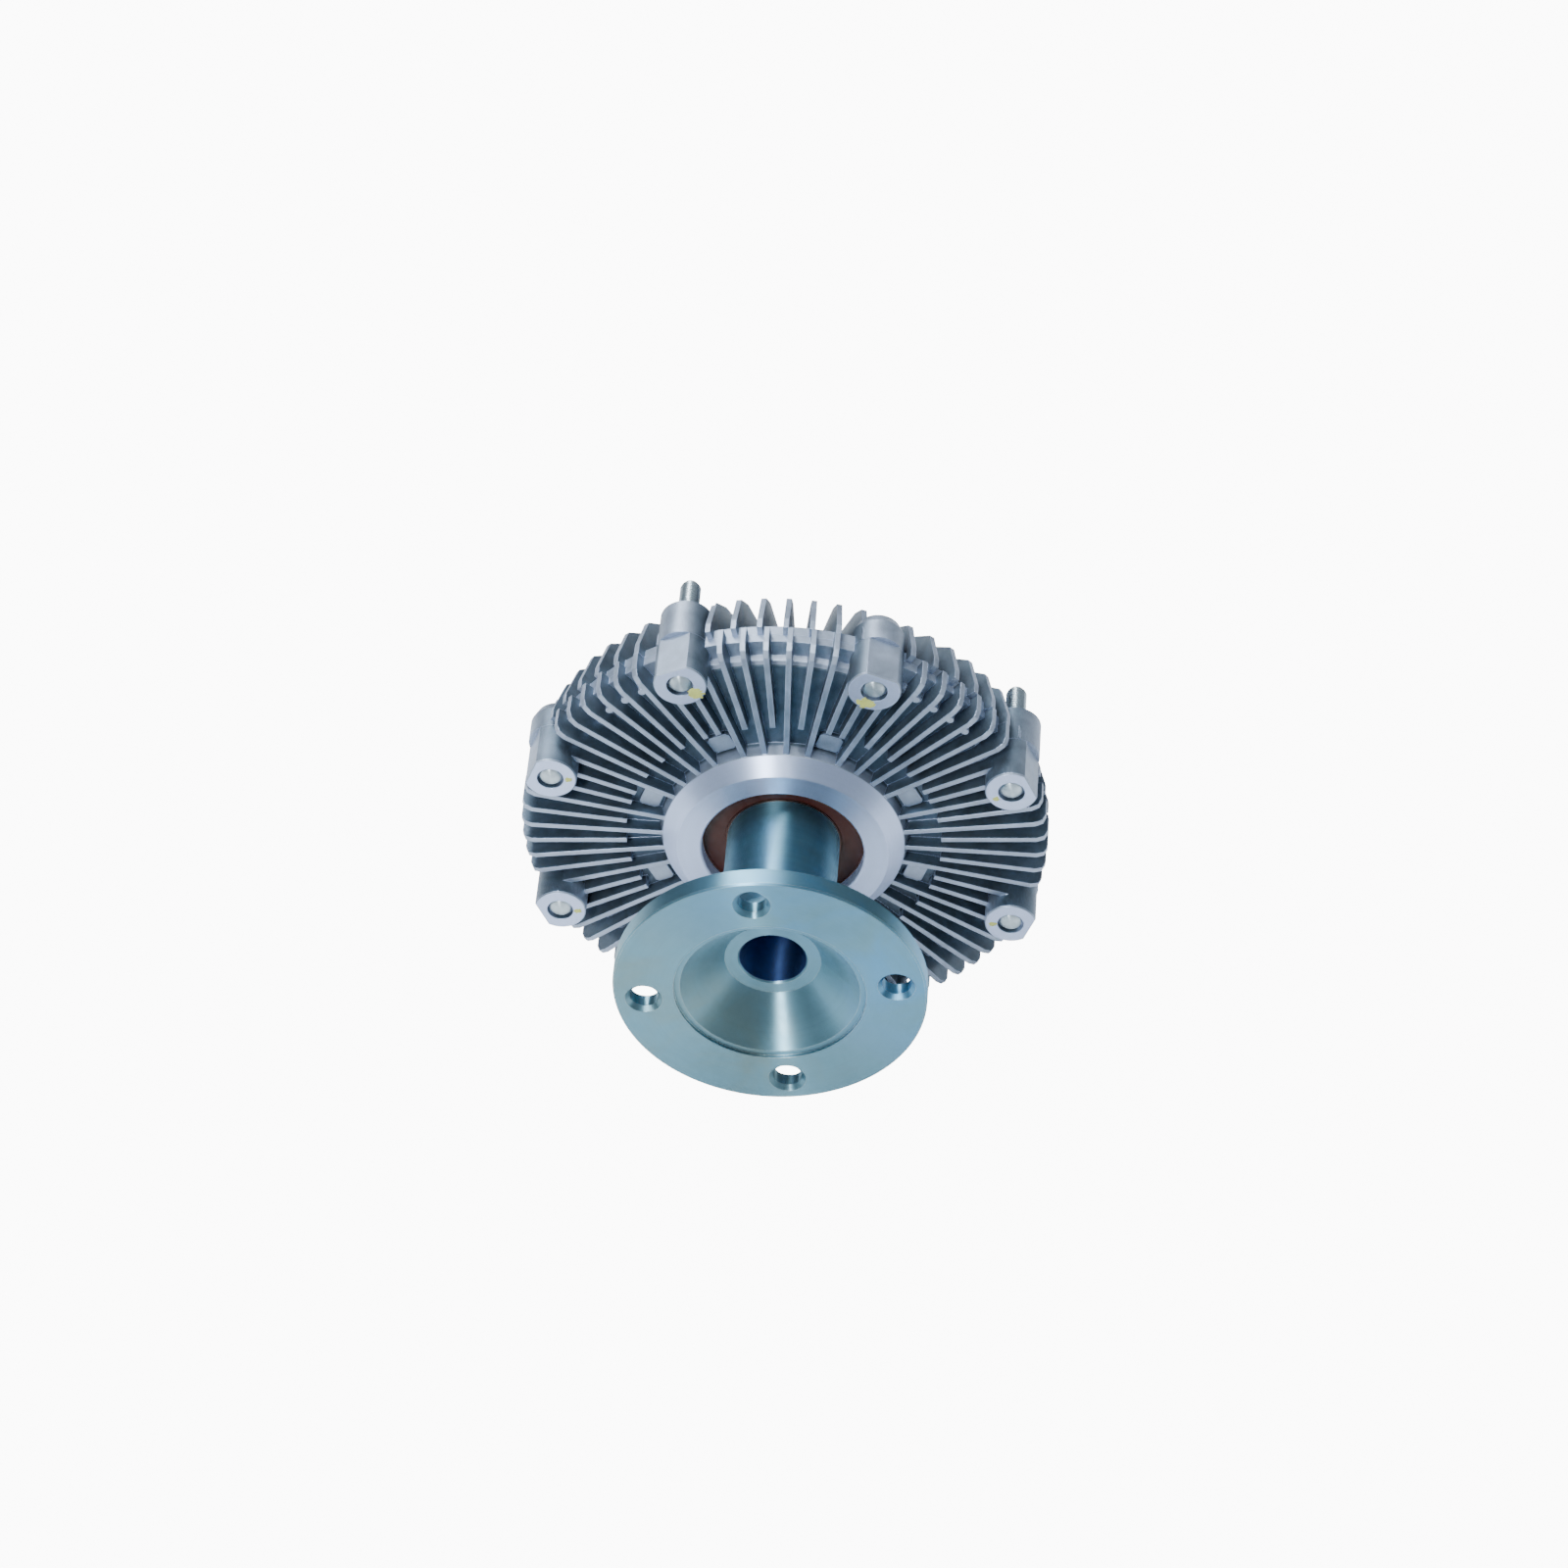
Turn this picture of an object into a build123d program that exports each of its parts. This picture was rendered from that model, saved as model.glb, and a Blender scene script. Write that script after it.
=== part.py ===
from build123d import *

import os
from math import asin, cos, degrees, radians

# Viscous fan clutch. The drive shaft's flange bolts to the pump hub; the finned housing and cover turn on
# a ball bearing round the shaft and carry the fan on four studs.
# Millimetres. The origin is the centre of the flange's mounting face, +Y runs along the shaft towards
# the fan and +Z is up, as the clutch hangs on the engine. Angles are turned from +X towards +Z.

# Stations along the shaft
boss_face_y = 73.6
fin_front_y = boss_face_y + 6.4
floor_hub_y = boss_face_y + 11.5
floor_rim_y = boss_face_y + 12.5
housing_wall_y = boss_face_y + 17.0
seam_y = boss_face_y + 19.0
rim_back_y = boss_face_y + 23.5

# Drive shaft and its dished flange
flange_radius = 59.3
flange_thickness = 8.3
flange_edge_chamfer = 0.7
flange_hole_radius = 5.5
flange_hole_chamfer = 1.7
flange_hole_circle = 48.0
flange_hole_count = 4
flange_hole_turn = 6.6
register_radius = 36.35
register_depth = 1.4
dish_rim_radius = 34.0
dish_floor_radius = 18.2
dish_depth = 17.2
pilot_radius = 12.75
pilot_depth = 27.8
pilot_chamfer = 0.7
flange_back_radius = 39.0
flange_back_length = 21.0
flange_back_fillet = 4.0
shaft_radius = 21.75
rotor_seat_radius = 12.0
shaft_end_land = 1.3
shaft_end_chamfer = 0.5

# Ball bearing
bearing_y = boss_face_y + 6.0
bearing_width = 19.0
bearing_bore_radius = 15.0
bearing_outer_radius = 36.0
bearing_chamfer = 0.8
ball_radius = 6.15
ball_count = 8
ball_circle = 25.5
race_clearance = 0.04
inner_ring_land = 22.3
outer_ring_land = 29.9
seal_recess_radius = 30.95
seal_thickness = 1.8
seal_inset = 0.5
seal_clearance = 0.1
cage_inner_radius = 24.2
cage_outer_radius = 27.2
cage_width = 14.0
cage_clearance = 0.15
seat_clearance = 0.02

# Snap rings: the bearing's in the housing and the rotor's on the shaft
snap_ring_width = 1.3
snap_ring_depth = 1.6
snap_ring_band = 3.2
snap_ring_gap = 7.0
shaft_ring_depth = 1.2
shaft_ring_band = 3.4
ring_clearance = 0.05

# Housing
lip_radius = 31.3
lip_chamfer = 0.6
hub_face_radius = 40.75
hub_cone_radius = 46.7
hub_cone_length = 5.95
hub_foot_radius = 48.2
bearing_boss_radius = 43.0
bearing_boss_land = 1.5
drum_radius = 90.5
drum_corner = 3.0
chamber_radius = 85.5
rim_radius = 97.5

# Bosses round the rim: every other one carries a fan stud
boss_circle = 95.0
boss_radius = 10.1
boss_flat = 8.0
boss_chamfer = 0.5
boss_count = 8
boss_turn = 22.5
stud_boss_length = 18.3
stud_boss_chamfer = 1.5
stud_spot_radius = 12.5
dome_boss_length = 15.5
dome_round = 6.0
dome_wall = 3.5
screw_radius = 4.2
screw_clearance = 0.05
screw_pocket_radius = 5.1
screw_pocket_depth = 2.6
screw_end_inset = 0.4
screw_end_chamfer = 0.7
stud_radius = 4.0
stud_shoulder = 0.3
stud_reach = 17.3
stud_tip_chamfer = 1.0

# Housing fins, nine to each of the eight sectors
fin_thickness = 2.1
fin_radius = 101.65
fin_corner = 4.3
long_fin_inner = 44.0
short_fin_inner = 60.8
boss_fin_outer = 92.5
sector_count = 8
long_fin_turns = (7.5, -2.5, -12.5)
short_fin_turns = (12.5, 2.5, -7.5)
long_fin_beside_boss = 17.5
short_fins_beside_boss = (22.5, 27.5)
pad_inner_radius = 49.8
pad_outer_radius = 57.5
pad_width = 9.2
pad_corner = 1.2
pad_turn = 25.0
pad_y = boss_face_y + 9.4
nub_circle = 93.2
nub_radius = 1.5
nub_sides = 8
nub_step = 5.0
nub_turns_left = (123.6, 3)
nub_turns_right = (41.4, 4)

# Cover and its fins
cover_wall_y = boss_face_y + 30.4
cover_shoulder_radius = 85.5
cover_shoulder_y = boss_face_y + 35.6
cover_cone_radius = 75.0
cover_cone_y = boss_face_y + 43.0
cover_pad_radius = 37.5
cover_pad_y = boss_face_y + 47.0
chamber_shoulder_y = boss_face_y + 29.4
reservoir_radius = 72.5
reservoir_rim_y = boss_face_y + 38.6
reservoir_floor_radius = 40.0
reservoir_floor_y = boss_face_y + 41.8
valve_boss_radius = 9.0
valve_boss_y = boss_face_y + 52.0
valve_boss_inner_y = boss_face_y + 40.0
cover_fin_count = 64
cover_fin_turn = 4.225
cover_fin_tip_radius = 97.5
cover_fin_tip_y = boss_face_y + 38.8
cover_fin_shoulder_radius = 87.4
cover_fin_shoulder_y = boss_face_y + 46.7
cover_fin_crown_radius = 65.0
cover_fin_crown_y = boss_face_y + 57.0
cover_fin_inner_radius = 50.0
cover_fin_inner_y = boss_face_y + 59.5
cover_fin_foot_radius = 39.5
cover_short_fin_inner = 52.0
cover_fin_root = 1.8

# Rotor: a web between a hub on the shaft and a ring whose ribs run between the housing's
rotor_radius = 83.5
rotor_hub_radius = 20.0
rotor_hub_length = 5.0
rotor_recess_radius = 18.0
rotor_back_y = boss_face_y + 31.4
rotor_web_thickness = 2.6
rotor_ring_radius = 58.0
rotor_ring_thickness = 6.5
rotor_rim_chamfer = 3.0
rib_thickness = 1.8
rib_step = 6.0
rib_count = 4
rib_first_radius = 63.0
rib_tip_gap = 1.4
rotor_port_circle = 42.0
rotor_port_radius = 5.0
rotor_port_count = 6

# Divider plate, wiper and valve
divider_y = boss_face_y + 33.5
divider_thickness = 1.2
divider_radius = 79.0
divider_clearance = 0.3
divider_screw_circle = 76.0
divider_screw_count = 4
divider_screw_turn = 10.0
divider_screw_radius = 1.5
divider_screw_head_radius = 2.6
divider_screw_head_height = 0.9
divider_screw_length = 5.5
port_circle = 60.0
port_radius = 3.0
return_circle = 70.0
return_radius = 1.5
stop_height = 1.4
stop_radius = 1.5
stop_circle = 30.0
stop_gap = 0.3
valve_range = 30.0
wiper_thickness = 1.5
wiper_length = 14.0
wiper_width = 7.0
wiper_y = boss_face_y + 20.0
wiper_clearance = 0.1
arm_gap = 0.3
arm_thickness = 1.2
arm_hub_radius = 9.0
arm_tip_radius = 6.0
arm_width = 7.0
arm_seat_radius = 3.0
valve_shaft_radius = 4.0
valve_shaft_reach = 10.5
valve_shaft_chamfer = 0.5
valve_clearance = 0.05
o_ring_radius = 0.92
o_ring_flats = 6
o_ring_groove_width = 2.1
o_ring_clearance = 0.03
valve_o_ring_y = boss_face_y + 45.0
cover_o_ring_circle = 88.1

# Bimetal coil on the fan side
coil_gap = 0.7
coil_width = 8.0
coil_strip = 0.9
coil_pitch = 2.6
coil_half_turns = 14
coil_clearance = 0.15
coil_tongue_radius = 29.0
bracket_radius = 25.5
bracket_strip = 2.0
bracket_width = 10.0
bracket_foot_radius = 36.5
bracket_rise = 15.0
bracket_bend = 2.5
bracket_notch_clearance = 0.1
bracket_screw_circle = 32.4
bracket_screw_radius = 2.0
bracket_screw_head_radius = 3.5
bracket_screw_head_height = 2.4
bracket_screw_depth = 3.4


def across(y, turn=0):
    """Plane across the shaft at depth y, seen from the pump side; extrusions run back towards the pump.

    Sketch x is X and sketch y is Z, both turned by the given angle.
    """
    return Plane(origin=(0, y, 0), x_dir=Vector(1, 0, 0).rotate(Axis.Y, -turn), z_dir=(0, -1, 0))


def finish(piece, label):
    """Name a finished piece and write its file."""
    piece.part.label = label
    export_step(piece.part, f"parts/{label}.step")


os.makedirs("parts", exist_ok=True)

# A round corner drawn as two flats has its middle point this share of its radius inside each face
easing = 1 - cos(radians(45))

bearing_back_y = bearing_y + bearing_width
ball_y = bearing_y + bearing_width / 2
bearing_boss_y = bearing_back_y + snap_ring_width + 2 * ring_clearance + bearing_boss_land
rim_front_y = floor_rim_y + drum_corner
stud_boss_y = seam_y + stud_boss_length
dome_boss_y = seam_y + dome_boss_length
screw_end_y = boss_face_y + screw_end_inset
divider_back_y = divider_y + divider_thickness
rotor_hub_back_y = bearing_back_y + rotor_hub_length
shaft_groove_width = snap_ring_width + 2 * ring_clearance
shaft_end_y = rotor_hub_back_y + shaft_groove_width + shaft_end_land
rotor_ring_y = rotor_back_y - rotor_ring_thickness
rib_last_radius = rib_first_radius + (rib_count - 1) * rib_step
coil_y = valve_boss_y + coil_gap

# Drive shaft: flange, dish, back cone, shaft and seats turned from one forging
pilot_end_y = dish_depth + pilot_depth
with BuildPart() as drive_shaft:
    with BuildSketch(Plane.XY):
        with BuildLine():
            Polyline(
                (0, pilot_end_y),
                (pilot_radius, pilot_end_y),
                (pilot_radius, dish_depth + pilot_chamfer),
                (pilot_radius + pilot_chamfer, dish_depth),
                (dish_floor_radius, dish_depth),
                (dish_rim_radius, register_depth),
                (register_radius, register_depth),
                (register_radius, 0),
                (flange_radius - flange_edge_chamfer, 0),
                (flange_radius, flange_edge_chamfer),
                (flange_radius, flange_thickness - flange_edge_chamfer),
                (flange_radius - flange_edge_chamfer, flange_thickness),
                (flange_back_radius, flange_thickness),
                (shaft_radius, flange_thickness + flange_back_length),
                (shaft_radius, bearing_y),
                (bearing_bore_radius, bearing_y),
                (bearing_bore_radius, bearing_back_y),
                (rotor_seat_radius, bearing_back_y),
                (rotor_seat_radius, rotor_hub_back_y),
                (rotor_seat_radius - shaft_ring_depth, rotor_hub_back_y),
                (rotor_seat_radius - shaft_ring_depth, rotor_hub_back_y + shaft_groove_width),
                (rotor_seat_radius, rotor_hub_back_y + shaft_groove_width),
                (rotor_seat_radius, shaft_end_y - shaft_end_chamfer),
                (rotor_seat_radius - shaft_end_chamfer, shaft_end_y),
                (0, shaft_end_y),
                close=True,
            )
        profile = make_face()
        back_corner = profile.vertices().sort_by_distance((flange_back_radius, flange_thickness))[0]
        fillet(back_corner, radius=flange_back_fillet)
    revolve(axis=Axis.Y)
    with BuildSketch(across(flange_thickness)):
        with PolarLocations(flange_hole_circle, flange_hole_count, start_angle=flange_hole_turn):
            Circle(flange_hole_radius)
    extrude(amount=flange_thickness, mode=Mode.SUBTRACT)
    hole_rims = drive_shaft.edges().filter_by(GeomType.CIRCLE).filter_by(
        lambda edge: abs(edge.radius - flange_hole_radius) < 0.001
    )
    chamfer(hole_rims, length=flange_hole_chamfer)
finish(drive_shaft, "drive_shaft")

# Bearing: both rings have a groove that clears the balls all round
with BuildPart() as bearing_inner_ring:
    ring_bore = bearing_bore_radius + seat_clearance
    with BuildSketch(Plane.XY):
        with BuildLine():
            Polyline(
                (ring_bore, bearing_y + bearing_chamfer),
                (ring_bore + bearing_chamfer, bearing_y),
                (inner_ring_land, bearing_y),
                (inner_ring_land, bearing_back_y),
                (ring_bore + bearing_chamfer, bearing_back_y),
                (ring_bore, bearing_back_y - bearing_chamfer),
                close=True,
            )
        make_face()
        with Locations((ball_circle, ball_y)):
            Circle(ball_radius + race_clearance, mode=Mode.SUBTRACT)
    revolve(axis=Axis.Y)
finish(bearing_inner_ring, "bearing_inner_ring")

with BuildPart() as bearing_outer_ring:
    ring_outside = bearing_outer_radius - seat_clearance
    seal_seat = seal_inset + seal_thickness + seal_clearance
    with BuildSketch(Plane.XY):
        with BuildLine():
            Polyline(
                (outer_ring_land, bearing_y + seal_seat),
                (seal_recess_radius, bearing_y + seal_seat),
                (seal_recess_radius, bearing_y),
                (ring_outside - bearing_chamfer, bearing_y),
                (ring_outside, bearing_y + bearing_chamfer),
                (ring_outside, bearing_back_y - bearing_chamfer),
                (ring_outside - bearing_chamfer, bearing_back_y),
                (seal_recess_radius, bearing_back_y),
                (seal_recess_radius, bearing_back_y - seal_seat),
                (outer_ring_land, bearing_back_y - seal_seat),
                close=True,
            )
        make_face()
        with Locations((ball_circle, ball_y)):
            Circle(ball_radius + race_clearance, mode=Mode.SUBTRACT)
    revolve(axis=Axis.Y)
finish(bearing_outer_ring, "bearing_outer_ring")

with BuildPart(across(ball_y)) as bearing_balls:
    with PolarLocations(ball_circle, ball_count):
        Sphere(ball_radius)
finish(bearing_balls, "bearing_balls")

with BuildPart(across(ball_y)) as bearing_cage:
    Cylinder(cage_outer_radius, cage_width)
    Cylinder(cage_inner_radius, cage_width, mode=Mode.SUBTRACT)
    pocket_length = 4 * (cage_outer_radius - cage_inner_radius)
    with PolarLocations(ball_circle, ball_count):
        Cylinder(ball_radius + cage_clearance, pocket_length, rotation=(0, 90, 0), mode=Mode.SUBTRACT)
finish(bearing_cage, "bearing_cage")

rear_seal_back_y = bearing_y + seal_inset + seal_thickness
front_seal_back_y = bearing_back_y - seal_inset
for label, seal_back_y in (("bearing_rear_seal", rear_seal_back_y), ("bearing_front_seal", front_seal_back_y)):
    with BuildPart() as bearing_seal:
        with BuildSketch(across(seal_back_y)):
            Circle(seal_recess_radius - seat_clearance)
            Circle(inner_ring_land + seal_clearance, mode=Mode.SUBTRACT)
        extrude(amount=seal_thickness)
    finish(bearing_seal, label)

# Snap rings, each open at the top
with BuildPart() as bearing_snap_ring:
    ring_radius = bearing_outer_radius + snap_ring_depth
    with BuildSketch(across(bearing_back_y + ring_clearance + snap_ring_width)):
        Circle(ring_radius)
        Circle(ring_radius - snap_ring_band, mode=Mode.SUBTRACT)
        with Locations((0, ring_radius - snap_ring_band / 2)):
            Rectangle(snap_ring_gap, 2 * snap_ring_band, mode=Mode.SUBTRACT)
    extrude(amount=snap_ring_width)
finish(bearing_snap_ring, "bearing_snap_ring")

with BuildPart() as rotor_retaining_ring:
    ring_bore = rotor_seat_radius - shaft_ring_depth + ring_clearance
    with BuildSketch(across(rotor_hub_back_y + ring_clearance + snap_ring_width)):
        Circle(ring_bore + shaft_ring_band)
        Circle(ring_bore, mode=Mode.SUBTRACT)
        with Locations((0, ring_bore + shaft_ring_band / 2)):
            Rectangle(snap_ring_gap, 2 * shaft_ring_band, mode=Mode.SUBTRACT)
    extrude(amount=snap_ring_width)
finish(rotor_retaining_ring, "rotor_retaining_ring")

# Rotor
with BuildPart() as rotor:
    rotor_bore = rotor_seat_radius + seat_clearance
    rib_front_y = housing_wall_y + rib_tip_gap
    with BuildSketch(Plane.XY):
        with BuildLine():
            Polyline(
                (rotor_bore, bearing_back_y),
                (rotor_hub_radius, bearing_back_y),
                (rotor_hub_radius, rotor_back_y - rotor_web_thickness),
                (rotor_ring_radius, rotor_back_y - rotor_web_thickness),
                (rotor_ring_radius, rotor_ring_y),
                (rotor_radius, rotor_ring_y),
                (rotor_radius, rotor_back_y - rotor_rim_chamfer),
                (rotor_radius - rotor_rim_chamfer, rotor_back_y),
                (rotor_recess_radius, rotor_back_y),
                (rotor_recess_radius, rotor_hub_back_y),
                (rotor_bore, rotor_hub_back_y),
                close=True,
            )
        make_face()
        with Locations(((rib_first_radius + rib_last_radius) / 2, (rib_front_y + rotor_ring_y) / 2)):
            with GridLocations(rib_step, rib_step, rib_count, 1):
                Rectangle(rib_thickness, rotor_ring_y - rib_front_y)
    revolve(axis=Axis.Y)
    with BuildSketch(across(rotor_back_y)):
        with PolarLocations(rotor_port_circle, rotor_port_count):
            Circle(rotor_port_radius)
    extrude(amount=rotor_web_thickness, mode=Mode.SUBTRACT)
finish(rotor, "rotor")

# Housing fins, cut to the swept envelope that their front edges and rounded outer corners follow
with BuildPart() as housing_fins:
    with BuildSketch(across(seam_y)):
        for turn in long_fin_turns:
            with PolarLocations((long_fin_inner + fin_radius) / 2, sector_count, start_angle=turn):
                Rectangle(fin_radius - long_fin_inner, fin_thickness)
        for turn in short_fin_turns:
            with PolarLocations((short_fin_inner + fin_radius) / 2, sector_count, start_angle=turn):
                Rectangle(fin_radius - short_fin_inner, fin_thickness)
        with PolarLocations((long_fin_inner + boss_fin_outer) / 2, sector_count, start_angle=long_fin_beside_boss):
            Rectangle(boss_fin_outer - long_fin_inner, fin_thickness)
        for turn in short_fins_beside_boss:
            with PolarLocations((short_fin_inner + boss_fin_outer) / 2, sector_count, start_angle=turn):
                Rectangle(boss_fin_outer - short_fin_inner, fin_thickness)
    extrude(amount=seam_y - fin_front_y)
    with BuildSketch(Plane.XY):
        with BuildLine():
            Polyline(
                (fin_radius, fin_front_y + fin_corner),
                (fin_radius, seam_y),
                (drum_radius - drum_corner, seam_y),
                (drum_radius - drum_corner, housing_wall_y - drum_corner),
                (long_fin_inner, housing_wall_y - drum_corner),
                (long_fin_inner, fin_front_y),
                (fin_radius - fin_corner, fin_front_y),
                (fin_radius - fin_corner * easing, fin_front_y + fin_corner * easing),
                close=True,
            )
        make_face()
    revolve(axis=Axis.Y, mode=Mode.INTERSECT)

# Housing: the pump-side half of the casting
with BuildPart() as housing:
    with BuildSketch(across(seam_y)):
        with PolarLocations(boss_circle, boss_count, start_angle=boss_turn):
            Circle(boss_radius)
        with PolarLocations(boss_circle + boss_flat + boss_radius / 2, boss_count, start_angle=boss_turn):
            Rectangle(boss_radius, 2 * boss_radius, mode=Mode.SUBTRACT)
    extrude(amount=seam_y - boss_face_y)
    chamfer(housing.faces().group_by(Axis.Y)[0].edges(), length=boss_chamfer)
    with BuildSketch(Plane.XY):
        with BuildLine():
            Polyline(
                (drum_radius - drum_corner, floor_rim_y),
                (hub_foot_radius, floor_hub_y),
                (hub_cone_radius, boss_face_y + hub_cone_length),
                (hub_face_radius, boss_face_y),
                (lip_radius + lip_chamfer, boss_face_y),
                (lip_radius, boss_face_y + lip_chamfer),
                (lip_radius, bearing_y),
                (bearing_outer_radius, bearing_y),
                (bearing_outer_radius, bearing_boss_y),
                (bearing_boss_radius, bearing_boss_y),
                (bearing_boss_radius, housing_wall_y),
                (chamber_radius, housing_wall_y),
                (chamber_radius, seam_y),
                (rim_radius, seam_y),
                (rim_radius, rim_front_y),
                (drum_radius, rim_front_y),
                (drum_radius - drum_corner * easing, floor_rim_y + drum_corner * easing),
                close=True,
            )
        make_face()
    revolve(axis=Axis.Y)
    add(housing_fins.part)
    with BuildSketch(across(floor_rim_y)):
        with PolarLocations((pad_inner_radius + pad_outer_radius) / 2, sector_count, start_angle=pad_turn):
            pads = Rectangle(pad_outer_radius - pad_inner_radius, pad_width)
        chamfer(pads.vertices(), length=pad_corner)
    extrude(amount=floor_rim_y - pad_y)
    with BuildSketch(across(rim_front_y)):
        for start, count in (nub_turns_left, nub_turns_right):
            with PolarLocations(nub_circle, count, start_angle=start, angular_range=count * nub_step):
                RegularPolygon(nub_radius, nub_sides)
    extrude(amount=rim_front_y - fin_front_y)
    with BuildSketch(across(seam_y)):
        Circle(chamber_radius)
        Circle(bearing_boss_radius, mode=Mode.SUBTRACT)
    extrude(amount=seam_y - housing_wall_y, mode=Mode.SUBTRACT)
    with BuildSketch(Plane.XY):
        with Locations((bearing_outer_radius, bearing_back_y + ring_clearance + snap_ring_width / 2)):
            Rectangle(2 * (snap_ring_depth + ring_clearance), snap_ring_width + 2 * ring_clearance)
        with Locations((cover_o_ring_circle, seam_y)):
            Rectangle(o_ring_groove_width, 4 * (o_ring_radius + o_ring_clearance))
    revolve(axis=Axis.Y, mode=Mode.SUBTRACT)
    with BuildSketch(Plane.XY):
        with Locations(((rib_first_radius + rib_last_radius) / 2, (housing_wall_y + rotor_ring_y - rib_tip_gap) / 2)):
            with GridLocations(rib_step, rib_step, rib_count - 1, 1):
                Rectangle(rib_thickness, rotor_ring_y - rib_tip_gap - housing_wall_y)
    revolve(axis=Axis.Y)
    with BuildSketch(across(seam_y)):
        with PolarLocations(boss_circle, boss_count, start_angle=boss_turn):
            Circle(screw_radius + screw_clearance)
    extrude(amount=seam_y - boss_face_y, mode=Mode.SUBTRACT)
    with BuildSketch(across(boss_face_y + screw_pocket_depth)):
        with PolarLocations(boss_circle, boss_count, start_angle=boss_turn):
            Circle(screw_pocket_radius)
    extrude(amount=screw_pocket_depth, mode=Mode.SUBTRACT)
finish(housing, "housing")

# Cover: the fan-side half of the casting
with BuildPart() as cover_fins:
    with BuildSketch(across(cover_fin_inner_y)):
        pair_count = cover_fin_count // 2
        with PolarLocations((cover_pad_radius + fin_radius) / 2, pair_count, start_angle=cover_fin_turn):
            Rectangle(fin_radius - cover_pad_radius, fin_thickness)
        short_turn = cover_fin_turn + 360 / cover_fin_count
        with PolarLocations((cover_short_fin_inner + fin_radius) / 2, pair_count, start_angle=short_turn):
            Rectangle(fin_radius - cover_short_fin_inner, fin_thickness)
    extrude(amount=cover_fin_inner_y - seam_y)
    with BuildSketch(Plane.XY):
        with BuildLine():
            Polyline(
                (chamber_radius + cover_fin_root, seam_y),
                (fin_radius, seam_y),
                (fin_radius, rim_back_y),
                (cover_fin_tip_radius, cover_fin_tip_y),
                (cover_fin_shoulder_radius, cover_fin_shoulder_y),
                (cover_fin_crown_radius, cover_fin_crown_y),
                (cover_fin_inner_radius, cover_fin_inner_y),
                (cover_fin_foot_radius, cover_pad_y),
                (cover_fin_foot_radius, reservoir_floor_y + cover_fin_root),
                (reservoir_radius, reservoir_rim_y + cover_fin_root),
                (chamber_radius + cover_fin_root, chamber_shoulder_y),
                close=True,
            )
        make_face()
    revolve(axis=Axis.Y, mode=Mode.INTERSECT)

with BuildPart() as dome_boss:
    with BuildSketch(Plane.XZ):
        with BuildLine():
            Polyline(
                (0, 0),
                (boss_radius - dome_round, 0),
                (boss_radius - dome_round * easing, dome_round * easing),
                (boss_radius, dome_round),
                (boss_radius, dome_boss_length),
                (0, dome_boss_length),
                close=True,
            )
        make_face()
    revolve(axis=Axis.Z)

with BuildPart() as stud_boss:
    Cylinder(boss_radius, stud_boss_length, align=(Align.CENTER, Align.CENTER, Align.MIN))
    chamfer(stud_boss.edges().group_by(Axis.Z)[0], length=stud_boss_chamfer)

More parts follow.
